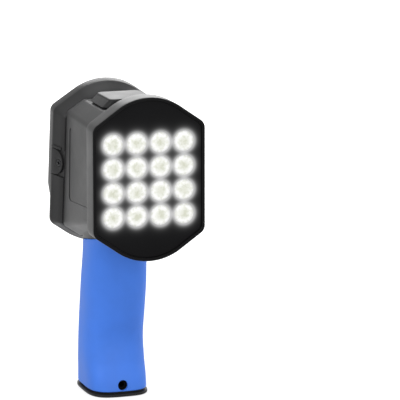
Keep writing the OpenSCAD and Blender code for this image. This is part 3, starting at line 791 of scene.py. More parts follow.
def key_with_shaded_skirt(cap, skirt_shade):
    """Grey key whose sides, from a thin band under its crown downwards, are painted black as shade in the
    gaps between the keys.
    """
    material = moulded("key plastic", cap, 0.5, grain=0.4, depth=0.012, specular=0.3)
    n = Nodes(material.node_tree)
    shader = shader_of(material)
    tone = shader.inputs["Base Color"].links[0].from_socket
    place = n.add("ShaderNodeTexCoord").outputs["Object"]
    away = n.add("ShaderNodeVectorMath", operation="DISTANCE")
    n.link(place, away.inputs[0])
    away.inputs[1].default_value = on_face((0, -PAD_DROP), KEY_PROUD - KEY_CROWN) * MM
    depth = n.math("MULTIPLY_ADD", away.outputs["Value"], -1 / MM, KEY_CROWN)
    # Painted shade: black below the grey band round the crown
    blend = n.add("ShaderNodeMix", data_type="RGBA")
    blend.inputs["A"].default_value = (*skirt_shade, 1)
    n.link(tone, blend.inputs["B"])
    n.link(n.spread(depth, SKIRT_SHADE_DEPTH - 0.06, SKIRT_SHADE_DEPTH + 0.06, 1, 0), blend.inputs["Factor"])
    n.link(blend.outputs["Result"], shader.inputs["Base Color"])
    return material


def turned_metal(name, colour, rough):
    """Plated screw steel with fine turning marks."""
    return moulded(name, colour, rough, grain=0.3, depth=0.006, contrast=0.1, metallic=1.0)


housing_black = moulded("housing plastic", (0.024, 0.024, 0.0245), 0.38, grain=0.55, depth=0.016,
                        specular=0.11)
# Darker copy of the housing plastic for the lamp's front rim: painted shade
rim_shade_black = moulded("rim plastic, painted shade", (0.003, 0.003, 0.0033), 0.42, grain=0.5, depth=0.008, specular=0.06)
trim_grey = moulded("trim plastic", (0.018, 0.018, 0.0185), 0.42, grain=0.55, depth=0.016, specular=0.08)
mask_black = lit_mask((0.003, 0.003, 0.0034))
# Black of the inner parts, also laid as painted shade on the hood's inner wall and the window's recess walls
inner_black_and_shade = moulded("inner plastic and painted shade", (0.0025, 0.0025, 0.003), 0.5, grain=0.5, depth=0.01, specular=0.05)
fascia_grey = moulded("fascia plastic", (0.054, 0.054, 0.055), 0.45, grain=0.45, depth=0.012, specular=0.12)
key_grey = key_with_shaded_skirt((0.21, 0.21, 0.213), (0.006, 0.006, 0.0065))
grip_blue = soft_touch("grip rubber", (0.05, 0.175, 0.66))
seal_rubber = moulded("seal rubber", (0.01, 0.01, 0.011), 0.7, grain=0.5, depth=0.012, specular=0.1)
screw_steel = turned_metal("screw steel", (0.32, 0.32, 0.33), 0.32)
screw_black = turned_metal("blackened screw", (0.035, 0.035, 0.037), 0.36)
sink_alloy = turned_metal("sink alloy", (0.55, 0.56, 0.58), 0.38)
core_white = moulded("metal core board", (0.8, 0.8, 0.8), 0.45, grain=0.4, depth=0.006, contrast=0.04)
board_green = moulded("board laminate", (0.02, 0.15, 0.05), 0.35, grain=0.5, depth=0.008)
cell_sleeve = moulded("cell sleeve", (0.03, 0.16, 0.08), 0.35, grain=0.6, depth=0.008)
led_yellow = moulded("lamp package", (0.9, 0.8, 0.25), 0.4, grain=0.4, depth=0.006)
lens_lit = lit_lens()
lcd_grey = display_glass((0.15, 0.15, 0.152))
lcd_white = printed("display segment", (0.8, 0.8, 0.8), glow=0.12)
ink_white = printed("white print", (0.72, 0.72, 0.72))
ink_red = printed("red print", (0.36, 0.10, 0.085))


# Lamp head

def quarter(steps=ROUND_STEPS):
    """Sine and cosine pairs over a quarter turn."""
    return [(math.sin(math.pi / 2 * i / steps), math.cos(math.pi / 2 * i / steps)) for i in range(steps + 1)]


RIM_ARC = [(lamp_outline, RIM_EDGE * (1 - s), RIM_EDGE * (1 - c)) for s, c in quarter()]
# Half way round the outer bend, where the rim's painted shade gives way to the housing plastic
RIM_SPLIT = len(RIM_ARC) // 2
RIM_ROOT = [(lamp_outline, RIM_WALL / 2, SEAT_DEPTH / 2), (lamp_outline, RIM_WALL, SEAT_DEPTH)]


def lamp_ring_piece(name, section):
    return ring_piece(name, [[on_lamp(p, z) for p in outline(d)] for outline, d, z in section], closed=True)


def lamp_rim():
    """Front edge of the lamp housing, from the mask seat over the rim to the outer bend, in a darker copy of
    the housing plastic: painted shade on the faces that face forward.
    """
    inner = RIM_EDGE / 2
    section = [(lamp_outline, RIM_WALL, inner)]
    section += [(lamp_outline, RIM_WALL - inner * (1 - c), inner * c) for c in (0.6, 0.0)]
    section += RIM_ARC[:RIM_SPLIT + 1] + RIM_ROOT
    return lamp_ring_piece("lamp_rim", section)


def lamp_wall():
    """The rest of the lamp housing, from the outer bend round its back to the collar and inside again."""
    section = RIM_ARC[RIM_SPLIT:]
    section += [(lamp_outline, 0, LAMP_DEPTH * share) for share in (0.25, 0.5)]
    rear = LAMP_DEPTH - LAMP_ROUND
    section += [(lamp_outline, LAMP_ROUND * (1 - c), rear + LAMP_ROUND * s) for s, c in quarter(8)]
    fillet = COLLAR_FILLET
    section += [(collar_outline, -fillet * (1 - s), LAMP_DEPTH + fillet * (1 - c)) for s, c in quarter()]
    inside = SEAT_DEPTH + SEAT_LEDGE + 2
    section += [(collar_outline, 0, SEAM_FRONT - COLLAR_LIP), (collar_outline, COLLAR_LIP, SEAM_FRONT),
                (collar_outline, COLLAR_WALL, SEAM_FRONT), (collar_outline, COLLAR_WALL, inside),
                (lamp_outline, RIM_WALL + SEAT_LEDGE, inside),
                (lamp_outline, RIM_WALL + SEAT_LEDGE, SEAT_DEPTH)]
    return lamp_ring_piece("lamp_housing", section + RIM_ROOT[::-1])


def ear_outline(straight):
    """Lug with a straight root and a half-round end."""
    steps = 32
    bow = [Vector((EAR_R * math.cos(math.pi * i / steps), straight + EAR_R * math.sin(math.pi * i / steps)))
           for i in range(steps + 1)]
    return [*bow, Vector((-EAR_R, 0)), Vector((EAR_R, 0))]


def ear_pocket(straight):
    """Square pocket around a lug."""
    half = EAR_R + EAR_SIDE
    end = straight + EAR_R + EAR_GAP
    return [Vector((half, 0)), Vector((half, end)), Vector((-half, end)), Vector((-half, 0))]


def front_ear_place(side):
    """Frame of a front ear: x along the flat edge, y rearwards, height away from the body."""
    def place(p, height):
        return Vector((side * (BODY_HALF - EAR_T + height), lamp_y + EAR_FROM + p[1], head_z + p[0]))
    return place


def ear(name, place, straight, screw_y):
    hole = circle(HEAD_R + HEAD_FIT, 32, (0, screw_y))
    obj = plate_piece(name, ear_outline(straight), [hole], 0, EAR_T, place)
    face_outwards(obj)
    return soften(obj, EAR_EDGE, 3)


def face_outwards(obj):
    """Points the faces outwards again after a frame that mirrors."""
    bm = bmesh.new()
    bm.from_mesh(obj.data)
    bmesh.ops.recalc_face_normals(bm, faces=bm.faces)
    bm.to_mesh(obj.data)
    bm.free()


def ear_frame(place, end):
    """Thin bar on the collar above or below a front lug."""
    middle = end * (EAR_R + EAR_SIDE + EAR_BAR / 2)
    run = SEAM_FRONT - EAR_FROM - SEAM_CLEAR
    outline = bar(middle, run / 2, EAR_BAR / 2, run / 2)
    return soften(prism("bar", outline, (-EAR_SINK, EAR_T), place), BAR_EDGE, 2)


def lamp_spots():
    """Centres of the lamps in the lamp frame."""
    return [((i - (LED_COLS - 1) / 2) * LED_PITCH, (j - (LED_ROWS - 1) / 2) * LED_PITCH)
            for i in range(LED_COLS) for j in range(LED_ROWS)]


def make_lamp_head():
    ring = lamp_wall()
    ears = [ear("ear", front_ear_place(side), FRONT_STRAIGHT, EAR_SCREW) for side in (-1, 1)]
    ears += [ear_frame(front_ear_place(side), end) for side in (-1, 1) for end in (-1, 1)]
    join(ring, *ears)
    dress(ring, housing_black, stands_for=["lamp_bezel"])
    dress(lamp_rim(), rim_shade_black)

    windows = [circle(LENS_D / 2 + LENS_FIT, 40, spot) for spot in lamp_spots()]
    mask = plate_piece("lamp_front_mask", lamp_outline(RIM_WALL + MASK_FIT), windows, MASK_RECESS,
                       MASK_RECESS + MASK_T, on_lamp, MASK_EDGE, 1)
    face_outwards(mask)
    dress(mask, mask_black, stands_for=["lamp_mask"])


# Repeated pieces

def geometry_tree(name, inputs):
    tree = bpy.data.node_groups.new(name, "GeometryNodeTree")
    tree.interface.new_socket("Geometry", in_out="INPUT", socket_type="NodeSocketGeometry")
    identifiers = {}
    for label, kind in inputs:
        identifiers[label] = tree.interface.new_socket(label, in_out="INPUT", socket_type=kind).identifier
    tree.interface.new_socket("Geometry", in_out="OUTPUT", socket_type="NodeSocketGeometry")
    n = Nodes(tree)
    return tree, n, n.add("NodeGroupInput").outputs, n.add("NodeGroupOutput").inputs, identifiers


def scatter_tree():
    """Sets one copy of a model on every point, its Z axis along the point's outward attribute."""
    tree, n, given, out, identifiers = geometry_tree(
        "set on points", [("Model", "NodeSocketObject"), ("Finish", "NodeSocketMaterial")])
    model = n.add("GeometryNodeObjectInfo")
    outward = n.add("GeometryNodeInputNamedAttribute", data_type="FLOAT_VECTOR")
    outward.inputs["Name"].default_value = "outward"
    turn = n.add("FunctionNodeAlignRotationToVector", axis="Z")
    copies = n.add("GeometryNodeInstanceOnPoints")
    real = n.add("GeometryNodeRealizeInstances")
    finish = n.add("GeometryNodeSetMaterial")
    n.link(given["Model"], model.inputs["Object"])
    n.link(outward.outputs["Attribute"], turn.inputs["Vector"])
    n.link(given["Geometry"], copies.inputs["Points"])
    n.link(model.outputs["Geometry"], copies.inputs["Instance"])
    n.link(turn.outputs["Rotation"], copies.inputs["Rotation"])
    n.link(copies.outputs["Instances"], real.inputs["Geometry"])
    n.link(real.outputs["Geometry"], finish.inputs["Geometry"])
    n.link(given["Finish"], finish.inputs["Material"])
    n.link(finish.outputs["Geometry"], out["Geometry"])
    return tree, identifiers


SCATTER, SCATTER_INPUTS = scatter_tree()


def scattered(name, model, spots, material):
    """One mesh of copies of a model at spots, each (point in millimetres, outward direction)."""
    mesh = bpy.data.meshes.new(name)
    mesh.from_pydata([point * MM for point, _ in spots], [], [])
    outward = mesh.attributes.new("outward", "FLOAT_VECTOR", "POINT")
    for i, (_, direction) in enumerate(spots):
        outward.data[i].vector = direction
    obj = new_object(name, mesh)
    nodes_modifier = obj.modifiers.new("copies", "NODES")
    nodes_modifier.node_group = SCATTER
    nodes_modifier[SCATTER_INPUTS["Model"]] = model
    nodes_modifier[SCATTER_INPUTS["Finish"]] = material
    settle(obj)
    remove(model)
    shade(obj.data)
    return obj


def lens_model():
    """Shallow domed lens on its flange, with its crown along Z."""
    radius = LENS_D / 2
    bend = (radius ** 2 + LENS_CROWN ** 2) / (2 * LENS_CROWN)
    edge = 0.25
    dome = radius - edge
    profile = [(dome * k / 8, LENS_CROWN - bend + math.sqrt(bend ** 2 - (dome * k / 8) ** 2))
               for k in range(1, 9)]
    profile += [(radius, -edge), (radius, -MASK_T + LENS_CROWN / 2)]
    rings = [[upright(p, z) for p in circle(r, 48)] for r, z in profile]
    bm = bmesh.new()
    made = add_rings(bm, rings, caps=False)
    top = bm.verts.new((0, 0, LENS_CROWN * MM))
    for i, vert in enumerate(made[0]):
        bm.faces.new((vert, made[0][(i + 1) % len(made[0])], top))
    bm.faces.new(made[-1])
    return from_bmesh("lens", bm, 50)


def screw_model():
    """Low screw head with a cross recess, its face along Z and at height 0."""
    edge = 0.35
    profile = [(0.001, 0), (HEAD_R - edge, 0), (HEAD_R - edge * 0.3, -edge * 0.3), (HEAD_R, -edge),
               (HEAD_R, -HEAD_T)]
    rings = [[upright(p, z) for p in circle(r, 40)] for r, z in profile]
    head = ring_piece("screw", rings, caps=True)
    arm = HEAD_R * 0.62
    width = 0.34
    slot_corner = 0.1
    slot_span = (-0.9, 0.5)
    for half_x, half_y in ((arm, width), (width, arm)):
        cut(head, prism("slot", rounded_box(half_x, half_y, slot_corner), slot_span, upright))
    return head


def make_lenses():
    depth = MASK_RECESS + LENS_CROWN / 2
    spots = [(on_lamp(p, depth), Vector((0, -1, 0))) for p in lamp_spots()]
    lenses = scattered("lamp_lenses", lens_model(), spots, lens_lit)
    dress(lenses, lens_lit, stands_for=["led_lenses"])


def rear_ear_place(side):
    """Frame of a rear ear on the flared side: x along the flat edge, y towards the body."""
    lean = math.atan(FLARE / NECK)

    def place(p, height):
        out = height + EAR_PROUD - EAR_T
        across = RIM_HALF - p[1] * math.sin(lean) + out * math.cos(lean)
        depth = -p[1] * math.cos(lean) - out * math.sin(lean)
        return on_face((-side * across, p[0]), depth)
    return place


def make_screws():
    for name, node, place, screw_y in (("front_screws", "front_ear_screws", front_ear_place, EAR_SCREW),
                                       ("rear_screws", "rear_ear_screws", rear_ear_place, REAR_EAR_SCREW)):
        spots = []
        for side in (-1, 1):
            at = place(side)
            seat = at((0, screw_y), EAR_T)
            outward = (at((0, screw_y), EAR_T + 1) - seat).normalized()
            spots.append((seat - outward * HEAD_SUNK, outward))
        screws = scattered(name, screw_model(), spots, screw_black)
        dress(screws, screw_black, stands_for=[node])
    low, high = node_box("base_screws")
    spots = [(Vector((side * (high.x - HEAD_R), (low.y + high.y) / 2, low.z)), Vector((0, 0, -1)))
             for side in (-1, 1)]
    screws = scattered("foot_screws", screw_model(), spots, screw_black)
    dress(screws, screw_black, stands_for=["base_screws"])


# Body and handle

def half_body_path(section, d, steps=8):
    """Right half of a body section drawn in by d, from its top centre to its bottom centre."""
    radius = max(BODY_ROUND - d, 1)
    e = d * EDGE_SHARE
    half = BODY_HALF - d
    return rounded([(PART_GAP, section["top"] - d, 0, 0), (TOP_HALF - e, section["top"] - d, radius, steps),
                    (half, section["side_top"] - e, radius, steps),
                    (half, section["side_low"] + e, radius, steps),
                    (BOTTOM_HALF - e, section["low"] + d, radius, steps),
                    (PART_GAP, section["low"] + d, 0, 0)], closed=False)


def body_ring(share, d, side):
    """C-shaped section of one body half, a share of the way from the lamp to the display."""
    ring = []
    for depth, order in ((d, 1), (SHELL_WALL, -1)):
        front = half_body_path(FRONT, depth)
        back = half_body_path(BACK, depth)
        path = [on_lamp(a, SEAM_FRONT).lerp(on_face((b.x, b.y), -NECK), share) for a, b in zip(front, back)]
        ring += path[::order]
    return [Vector((side * abs(p.x), p.y, p.z)) for p in ring]


def half_rim_path(d):
    """Half of the rim outline drawn in by d, from its top centre to its bottom centre."""
    half = [Vector((max(p.x, PART_GAP), p.y)) for p in rim_outline(d) if p.x > -PART_GAP]
    return sorted(half, key=lambda p: math.atan2(p.x, p.y))


def end_ring(outer, depth, side):
    """C-shaped section of one half of the body's rear end, open inside for the display."""
    opening = half_rim_path(SPIGOT_INSET + SHELL_WALL)
    return [on_face((-side * p.x, p.y), depth) for p in outer + opening[::-1]]


def body_end(side):
    """Wall and spigot that close one half of the body against the display housing."""
    plate = half_body_path(BACK, END_INSET)
    face = -NECK - PART_GAP
    wall = ring_piece("end_wall", [end_ring(plate, depth, side) for depth in (-NECK - SHELL_WALL, face)])
    sleeve = half_rim_path(SPIGOT_INSET)
    spigot = ring_piece("spigot", [end_ring(sleeve, depth, side) for depth in (face, SPIGOT_LEN - NECK)])
    return wall, spigot


def pocket_cutter(side):
    return prism("pocket", ear_pocket(FRONT_STRAIGHT), (-EAR_TUCK, EAR_T + CUT_PAST), front_ear_place(side))


def body_front(side):
    """Wall and spigot that close one half of the body against the lamp housing, behind the lug."""
    opening = half_body_path(FRONT, FRONT_SPIGOT_INSET + SHELL_WALL)

    def rings(inset, depths):
        loop = half_body_path(FRONT, inset) + opening[::-1]
        return [[on_lamp((-side * p.x, p.y), depth) for p in loop] for depth in depths]
    start = SEAM_FRONT + PART_GAP
    wall = ring_piece("front_wall", rings(FRONT_EDGE + PART_GAP, (start, start + FRONT_WALL)))
    cut(wall, pocket_cutter(side))
    spigot = ring_piece("front_spigot", rings(FRONT_SPIGOT_INSET, (SEAM_FRONT - FRONT_SPIGOT_LEN, start)))
    return wall, spigot


def handle_at(z):
    """Centre, half width, half depth and squareness of the handle at a height."""
    z = min(max(z, STATIONS[0][0]), STATIONS[-1][0])
    i = max(k for k in range(len(STATIONS) - 1) if STATIONS[k][0] <= z)
    a, b = STATIONS[i], STATIONS[i + 1]
    before = STATIONS[max(i - 1, 0)]
    after = STATIONS[min(i + 2, len(STATIONS) - 1)]
    span = b[0] - a[0]
    t = (z - a[0]) / span
    values = []
    for k in (1, 2, 3, 4):
        start = (b[k] - before[k]) / (b[0] - before[0]) * span
        end = (after[k] - a[k]) / (after[0] - a[0]) * span
        values.append((2 * t ** 3 - 3 * t ** 2 + 1) * a[k] + (t ** 3 - 2 * t ** 2 + t) * start
                      + (3 * t ** 2 - 2 * t ** 3) * b[k] + (t ** 3 - t ** 2) * end)
    return values


def power(value, exponent):
    return math.copysign(abs(value) ** exponent, value)


def handle_point(angle, z, d):
    centre, half_w, half_d, squareness = handle_at(z)
    x = (half_w - d) * power(math.cos(angle), 2 / squareness)
    y = (half_d - d) * power(math.sin(angle), 2 / squareness)
    return Vector((x, centre + y, z))


def edge_height(y):
    """Height of the grip's upper edge at a depth, along its two slopes."""
    low, high = (0, 1) if y < GRIP_EDGE[1][0] else (1, 2)
    (y0, z0), (y1, z1) = GRIP_EDGE[low], GRIP_EDGE[high]
    return max(z0 + (z1 - z0) * (y - y0) / (y1 - y0), GRIP_EDGE[2][1])


def grip_edge(angle):
    """Height of the grip's upper edge at an angle round the handle."""
    z = GRIP_EDGE[1][1]
    for _ in range(12):
        z = edge_height(handle_point(angle, z, 0).y)
    return z


def seam_y(z):
    """Y of the display housing's front face at a height."""
    v = (z - DISPLAY_Z + NECK * math.sin(tilt)) / math.cos(tilt)
    return on_face((0, v), -NECK).y


def core_ring(angles, height, d, side):
    """C-shaped section of one half of the handle core, its height given for each angle."""
    ring = []
    for depth, order in ((d, 1), (GRIP_T + CORE_GAP + SHELL_WALL, -1)):
        path = []
        for angle in angles:
            z = height(angle)
            p = handle_point(angle, z, depth)
            limit = seam_y(z) - 0.2
            y = min(p.y, limit) if z > GRIP_EDGE[2][1] else p.y
            path.append(Vector((side * max(abs(p.x), PART_GAP), y, z)))
        ring += path[::order]
    return ring


def make_body_half(name, side, node):
    # Shares of the way to the display, with insets that round the front edge and soften the rear one
    shares = [0.0, 0.004, 0.012, 0.022] + [0.022 + 0.956 * k / 12 for k in range(1, 13)] + [0.99, 1.0]
    insets = [FRONT_EDGE, FRONT_EDGE * 0.6, FRONT_EDGE * 0.2, 0.0] + [0.0] * 12 + [0.15, 0.6]
    body = ring_piece(name, [body_ring(s, d, side) for s, d in zip(shares, insets)])

    corners = [(0, -PANEL_LOW), (PANEL_L + PANEL_LEAN, -PANEL_LOW - PANEL_LEAN),
               (PANEL_L, PANEL_HIGH + PANEL_LEAN), (0, PANEL_HIGH)]
    panel = rounded([(x, y, PANEL_ROUND, 6) for x, y in corners])
    rings = [[Vector((side * x, lamp_y + SEAM_FRONT + PANEL_FROM + p.x, head_z + p.y)) for p in panel]
             for x in (BODY_HALF - PANEL_DEPTH, BODY_HALF + 2)]
    cut(body, ring_piece("panel", rings), pocket_cutter(side))

    join(body, *body_front(side), *body_end(side))

    angles = [-math.pi / 2 + math.pi * k / 48 for k in range(49)]
    inner = GRIP_T + CORE_GAP
    bottom, top = STATIONS[0][0], STATIONS[-1][0]
    rings = [core_ring(angles, lambda a, s=s: bottom + (grip_edge(a) - CORE_STEP - bottom) * s, inner, side)
             for s in (k / 10 for k in range(11))]
    above_grip = [(0.0, 0.5), (0.02, 0.1), (0.05, 0.0)] + [(0.05 + 0.095 * k, 0.0) for k in range(1, 11)]
    rings += [core_ring(angles, lambda a, s=s: grip_edge(a) + (top - grip_edge(a)) * s, d, side)
              for s, d in above_grip]
    core = ring_piece("core", rings)
    cut(core, rod("socket_hole", (0, -SOCKET_RUN, socket_z), (0, 0, socket_z), SOCKET_FIT))
    join(body, core)
    dress(body, housing_black, stands_for=[node])


def make_grip():
    angles = around(HANDLE_STEPS)
    tops = [grip_edge(a) - SEAM_CLEAR for a in angles]
    bottom = STATIONS[0][0]
    edge = 0.9
    rounds = quarter(4)
    rows = [(edge * (1 - s), bottom + edge * (1 - c)) for s, c in rounds]
    rings = [[handle_point(a, z, d) for a in angles] for d, z in rows]
    count = 56
    for k in range(1, count):
        rings.append([handle_point(a, bottom + edge + (t - bottom - 2 * edge) * k / count, 0)
                      for a, t in zip(angles, tops)])
    rings += [[handle_point(a, t - edge * (1 - s), edge * (1 - c)) for a, t in zip(angles, tops)]
              for s, c in rounds]
    inner = 20
    rings += [[handle_point(a, bottom + (t - bottom) * k / inner, GRIP_T) for a, t in zip(angles, tops)]
              for k in range(inner, -1, -1)]
    grip = ring_piece("soft_grip", rings, closed=True)
    front = handle_point(-math.pi / 2, socket_z, 0).y
    cut(grip, rod("mouth", (0, front - CUT_PAST, socket_z), (0, front + 2 * CUT_PAST, socket_z),
                  SOCKET_OPEN / 2))
    dress(grip, grip_blue, stands_for=["grip"])


def make_foot():
    angles = around(HANDLE_STEPS)
    bottom = STATIONS[0][0]
    edge = 0.6
    rows = [(edge * (1 - s), edge * (1 - c)) for s, c in quarter(4)]
    rows += [(edge * (1 - c), FOOT_T - edge * (1 - s)) for s, c in quarter(4)]
    spigot = FOOT_SPREAD + GRIP_T
    rows += [(spigot, FOOT_T), (spigot, foot_top)]
    rings = [[handle_point(a, bottom, d - FOOT_SPREAD) for a in angles] for d, _ in rows]
    rings = [[upright(p, z) for p in ring] for ring, (_, z) in zip(rings, rows)]
    foot = ring_piece("foot_plate", rings)
    low, high = node_box("base_screws")
    y = (low.y + high.y) / 2
    bores = [rod("counterbore", (x, y, -1), (x, y, HEAD_T + HEAD_FIT), HEAD_R + HEAD_FIT)
             for x in (HEAD_R - high.x, high.x - HEAD_R)]
    cut(foot, *bores)
    dress(foot, trim_grey, stands_for=["base_plate"])


def make_top_cover():
    """Raised pad: sloping sides, a flat top and soft ends that run into the body."""
    centre_y = (cover_low.y + cover_high.y) / 2
    half_l = (cover_high.y - cover_low.y) / 2
    base_z = head_z + FRONT["top"]
    top_z = cover_high.z
    draw = 5.0
    corner = 4.0
    edge = 1.2
    slope_top = top_z - base_z - edge
    neck, lip, step = 2.4, 0.3, 0.7
    rows = [(TOP_HALF - neck, half_l - neck, 0.2, corner), (TOP_HALF - neck, half_l - neck, step, corner),
            (TOP_HALF - lip, half_l - lip, step, corner), (TOP_HALF, half_l, step + lip, corner),
            (TOP_HALF - draw + edge * 0.4, half_l, slope_top, corner)]
    for s, c in quarter(5)[1:]:
        inset = edge * (1 - c)
        rows.append((TOP_HALF - draw + edge * 0.4 - inset, half_l - inset, slope_top + edge * s, corner))
    rings = [[Vector((p.x, centre_y + p.y, base_z + z)) for p in rounded_box(w, l, r, 6)]
             for w, l, z, r in rows]
    cover = ring_piece("top_pad", rings)
    dress(cover, trim_grey, stands_for=["top_cover"])


# Display end

def rim_height(v):
    """Height of the rim over the fascia: the hood, a slanting notch and the lower rim."""
    share = (v - NOTCH_LOW) / (NOTCH_HIGH - NOTCH_LOW)
    share = min(max(share, 0.0), 1.0)
    return LOW_RIM + (HOOD - LOW_RIM) * share


def rim_ring(d, height):
    """Ring of the rim outline drawn in by d, its height given by a function of the point's v."""
    return [on_face(p, height(p.y)) for p in rim_outline(d)]


def fixed(value):
    return lambda v: value


def below_rim(drop, least=None):
    if least is None:
        return lambda v: rim_height(v) - drop
    return lambda v: max(rim_height(v) - drop, least)


def make_display_housing():
    edge = 0.8
    inner = 0.45
    rings = [rim_ring(FACE_INSET, fixed(-FASCIA_T)), rim_ring(FACE_INSET, fixed(0.0)),
             rim_ring(RIM_T, below_rim(inner + 0.4, 0.2)), rim_ring(RIM_T, below_rim(inner, 0.4))]
    rings += [rim_ring(RIM_T - inner * (1 - c), below_rim(inner * (1 - s))) for s, c in quarter(3)[1:]]
    rings += [rim_ring(edge * (1 - s), below_rim(edge * (1 - c))) for s, c in quarter(4)]
    bend = 1.0
    lean = FLARE / NECK
    rings += [rim_ring(0, fixed(bend * 0.3)), rim_ring(0.12, fixed(-bend * 0.6))]
    rings += [rim_ring(lean * k, fixed(-k)) for k in (1.6, 4, 7, NECK - 0.6)]
    rings += [rim_ring(FLARE + 0.4, fixed(-NECK)), rim_ring(INSIDE, fixed(-NECK)),
              rim_ring(INSIDE, fixed(-FASCIA_T))]
    housing = ring_piece("display_shell", rings, closed=True)
    ears = []
    for side in (-1, 1):
        place = rear_ear_place(side)
        floor = EAR_T - EAR_PROUD - EAR_MOAT
        cut(housing, prism("moat", ear_pocket(REAR_STRAIGHT), (floor, EAR_T + CUT_PAST), place))
        ears.append(ear("ear", place, REAR_STRAIGHT, REAR_EAR_SCREW))
        near, end = EAR_R + EAR_SIDE, BROW_FROM + BROW_L
        brow = [(near, BROW_FROM), (near + BROW_T, BROW_FROM), (near + BROW_T, end), (near, end)]
        flush = EAR_T - EAR_PROUD
        ears.append(soften(prism("brow", brow, (flush - 1, flush + BROW_PROUD), place), BROW_EDGE, 3))
    join(housing, *ears)
    dress(housing, housing_black, stands_for=["display_housing"])


def make_fascia():
    """Tray: its grey floor holds the window and the keys, its wall runs up inside the hood, black as painted
    shade.
    """
    wall_out = FACE_INSET + TRAY_FIT
    wall_in = wall_out + TRAY_WALL
    edge = 0.3
    fillet = 2.4
    chin_fillet = 0.8
    gap = 1.1
    split = 4

    def hood_share(v):
        return (rim_height(v) - LOW_RIM) / (HOOD - LOW_RIM)

    def bend_ring(s, c, bottom=None):
        """Ring round the foot of the wall, on a bend that is smaller at the chin than in the hood."""
        ring = []
        for near, far in zip(rim_outline(wall_in), rim_outline(wall_in + fillet)):
            share = hood_share(near.y)
            size = chin_fillet + (fillet - chin_fillet) * share
            p = near.lerp(far, size / fillet * (1 - c))
            ring.append(on_face(p, size * (1 - s) if bottom is None else bottom))
        return ring

    bends = [bend_ring(s, c) for s, c in quarter()]
    wall = [(wall_out, fixed(-FASCIA_T)), (wall_out, fixed(-0.5)), (wall_out, below_rim(gap + edge, 0.0)),
            (wall_out + edge, below_rim(gap, 0.25)), (wall_in - edge, below_rim(gap, 0.25)),
            (wall_in, below_rim(gap + edge, 0.2))]
    root = bend_ring(*quarter()[split], bottom=-FASCIA_T)
    rings = [rim_ring(d, height) for d, height in wall] + bends[:split + 1] + [root]
    # The wall takes the inner black, not the fascia's grey: painted shade inside the hood
    shaded_wall = ring_piece("fascia_wall", rings, closed=True)
    dress(shaded_wall, inner_black_and_shade)

    bm = bmesh.new()
    made = add_rings(bm, [root] + bends[split:], caps=False)
    edges = loop_edges(bm, made[-1])
    low_edges = loop_edges(bm, made[0])
    window = rounded_box(LCD_W / 2, LCD_H / 2, WINDOW_CORNER)
    oval = ellipse(PAD_W / 2, PAD_H / 2, PAD_STEPS, (0, -PAD_DROP))
    sides = []
    for loop in (window, oval):
        upper = [bm.verts.new(on_face(p, 0) * MM) for p in loop]
        lower = [bm.verts.new(on_face(p, -FASCIA_T) * MM) for p in loop]
        edges += loop_edges(bm, upper)
        low_edges += loop_edges(bm, lower)
        sides += [(upper[i - 1], upper[i], lower[i], lower[i - 1]) for i in range(len(upper))]
    fill(bm, edges)
    fill(bm, low_edges)
    for quad in sides:
        bm.faces.new(quad)
    fascia = from_bmesh("fascia_tray", bm, 40)
    soften(fascia, edge, 2, 60)
    dress(fascia, fascia_grey, stands_for=["fascia"])

    # Black lining over the walls of the window's recess: painted shade where these walls fall dark
    lining = 0.4
    fit = 0.02
    foot = -LCD_DEPTH + 0.05
    section = [(0, foot), (0, -lining), (-lining / 2, -lining / 2), (-lining, -lining), (-lining, foot)]
    half_w, half_h = LCD_W / 2 - fit, LCD_H / 2 - fit
    rings = [[on_face(p, height) for p in rounded_box(half_w + d, half_h + d, WINDOW_CORNER)]
             for d, height in section]
    dress(ring_piece("window_lining", rings, closed=True), inner_black_and_shade)


def key_height(p):
    """Height of the keypad's crowned face over the fascia."""
    return KEY_PROUD - KEY_CROWN + math.sqrt(KEY_CROWN ** 2 - p[0] ** 2 - (p[1] + PAD_DROP) ** 2)


def make_keys():
    for key in KEYS:
        cap = softened_copy(key, key + "_cap", KEY_EDGE, 5)
        dress(cap, key_grey, key, stands_for=[key])


def flat_marks(name, outlines, height, material, body, thickness=0.05):
    """Thin printed shapes on a face; each outline is a loop, or a loop with its holes."""
    bm = bmesh.new()
    for outer, *holes in outlines:
        add_plate(bm, outer, holes, 0, thickness)
    bmesh.ops.recalc_face_normals(bm, faces=bm.faces)
    for vert in bm.verts:
        lift = height(vert.co) if callable(height) else height
        vert.co = on_face((vert.co.x, vert.co.y), lift + vert.co.z) * MM
    obj = from_bmesh(name, bm)
    return dress(obj, material, body)


def bar(x, y, half_w, half_h, turn=0.0):
    c, s = math.cos(turn), math.sin(turn)
    corners = [(half_w, -half_h), (half_w, half_h), (-half_w, half_h), (-half_w, -half_h)]
    return [Vector((x + px * c - py * s, y + px * s + py * c)) for px, py in corners]


def arc_band(x, y, radius, half_t, start, end, steps=28):
    angles = [start + (end - start) * k / steps for k in range(steps + 1)]
    outer, inner = [[Vector((x + r * math.cos(a), y + r * math.sin(a))) for a in angles]
                    for r in (radius + half_t, radius - half_t)]
    return outer + inner[::-1]


def stroke(points, half_t):
    """Outline of a square-cornered line through points."""
    left, right = [], []
    count = len(points)
    for i, p in enumerate(points):
        p = Vector(p)
        ahead = Vector(points[min(i + 1, count - 1)]) - p
        behind = p - Vector(points[max(i - 1, 0)])
        if i == count - 1:
            ahead = behind
        if i == 0:
            behind = ahead
        ahead = ahead.normalized()
        behind = behind.normalized()
        normal = Vector((-ahead.y - behind.y, ahead.x + behind.x)).normalized()
        reach = half_t / max(normal.dot(Vector((-ahead.y, ahead.x))), 0.3)
        left.append(p + normal * reach)
        right.append(p - normal * reach)
    return left + right[::-1]


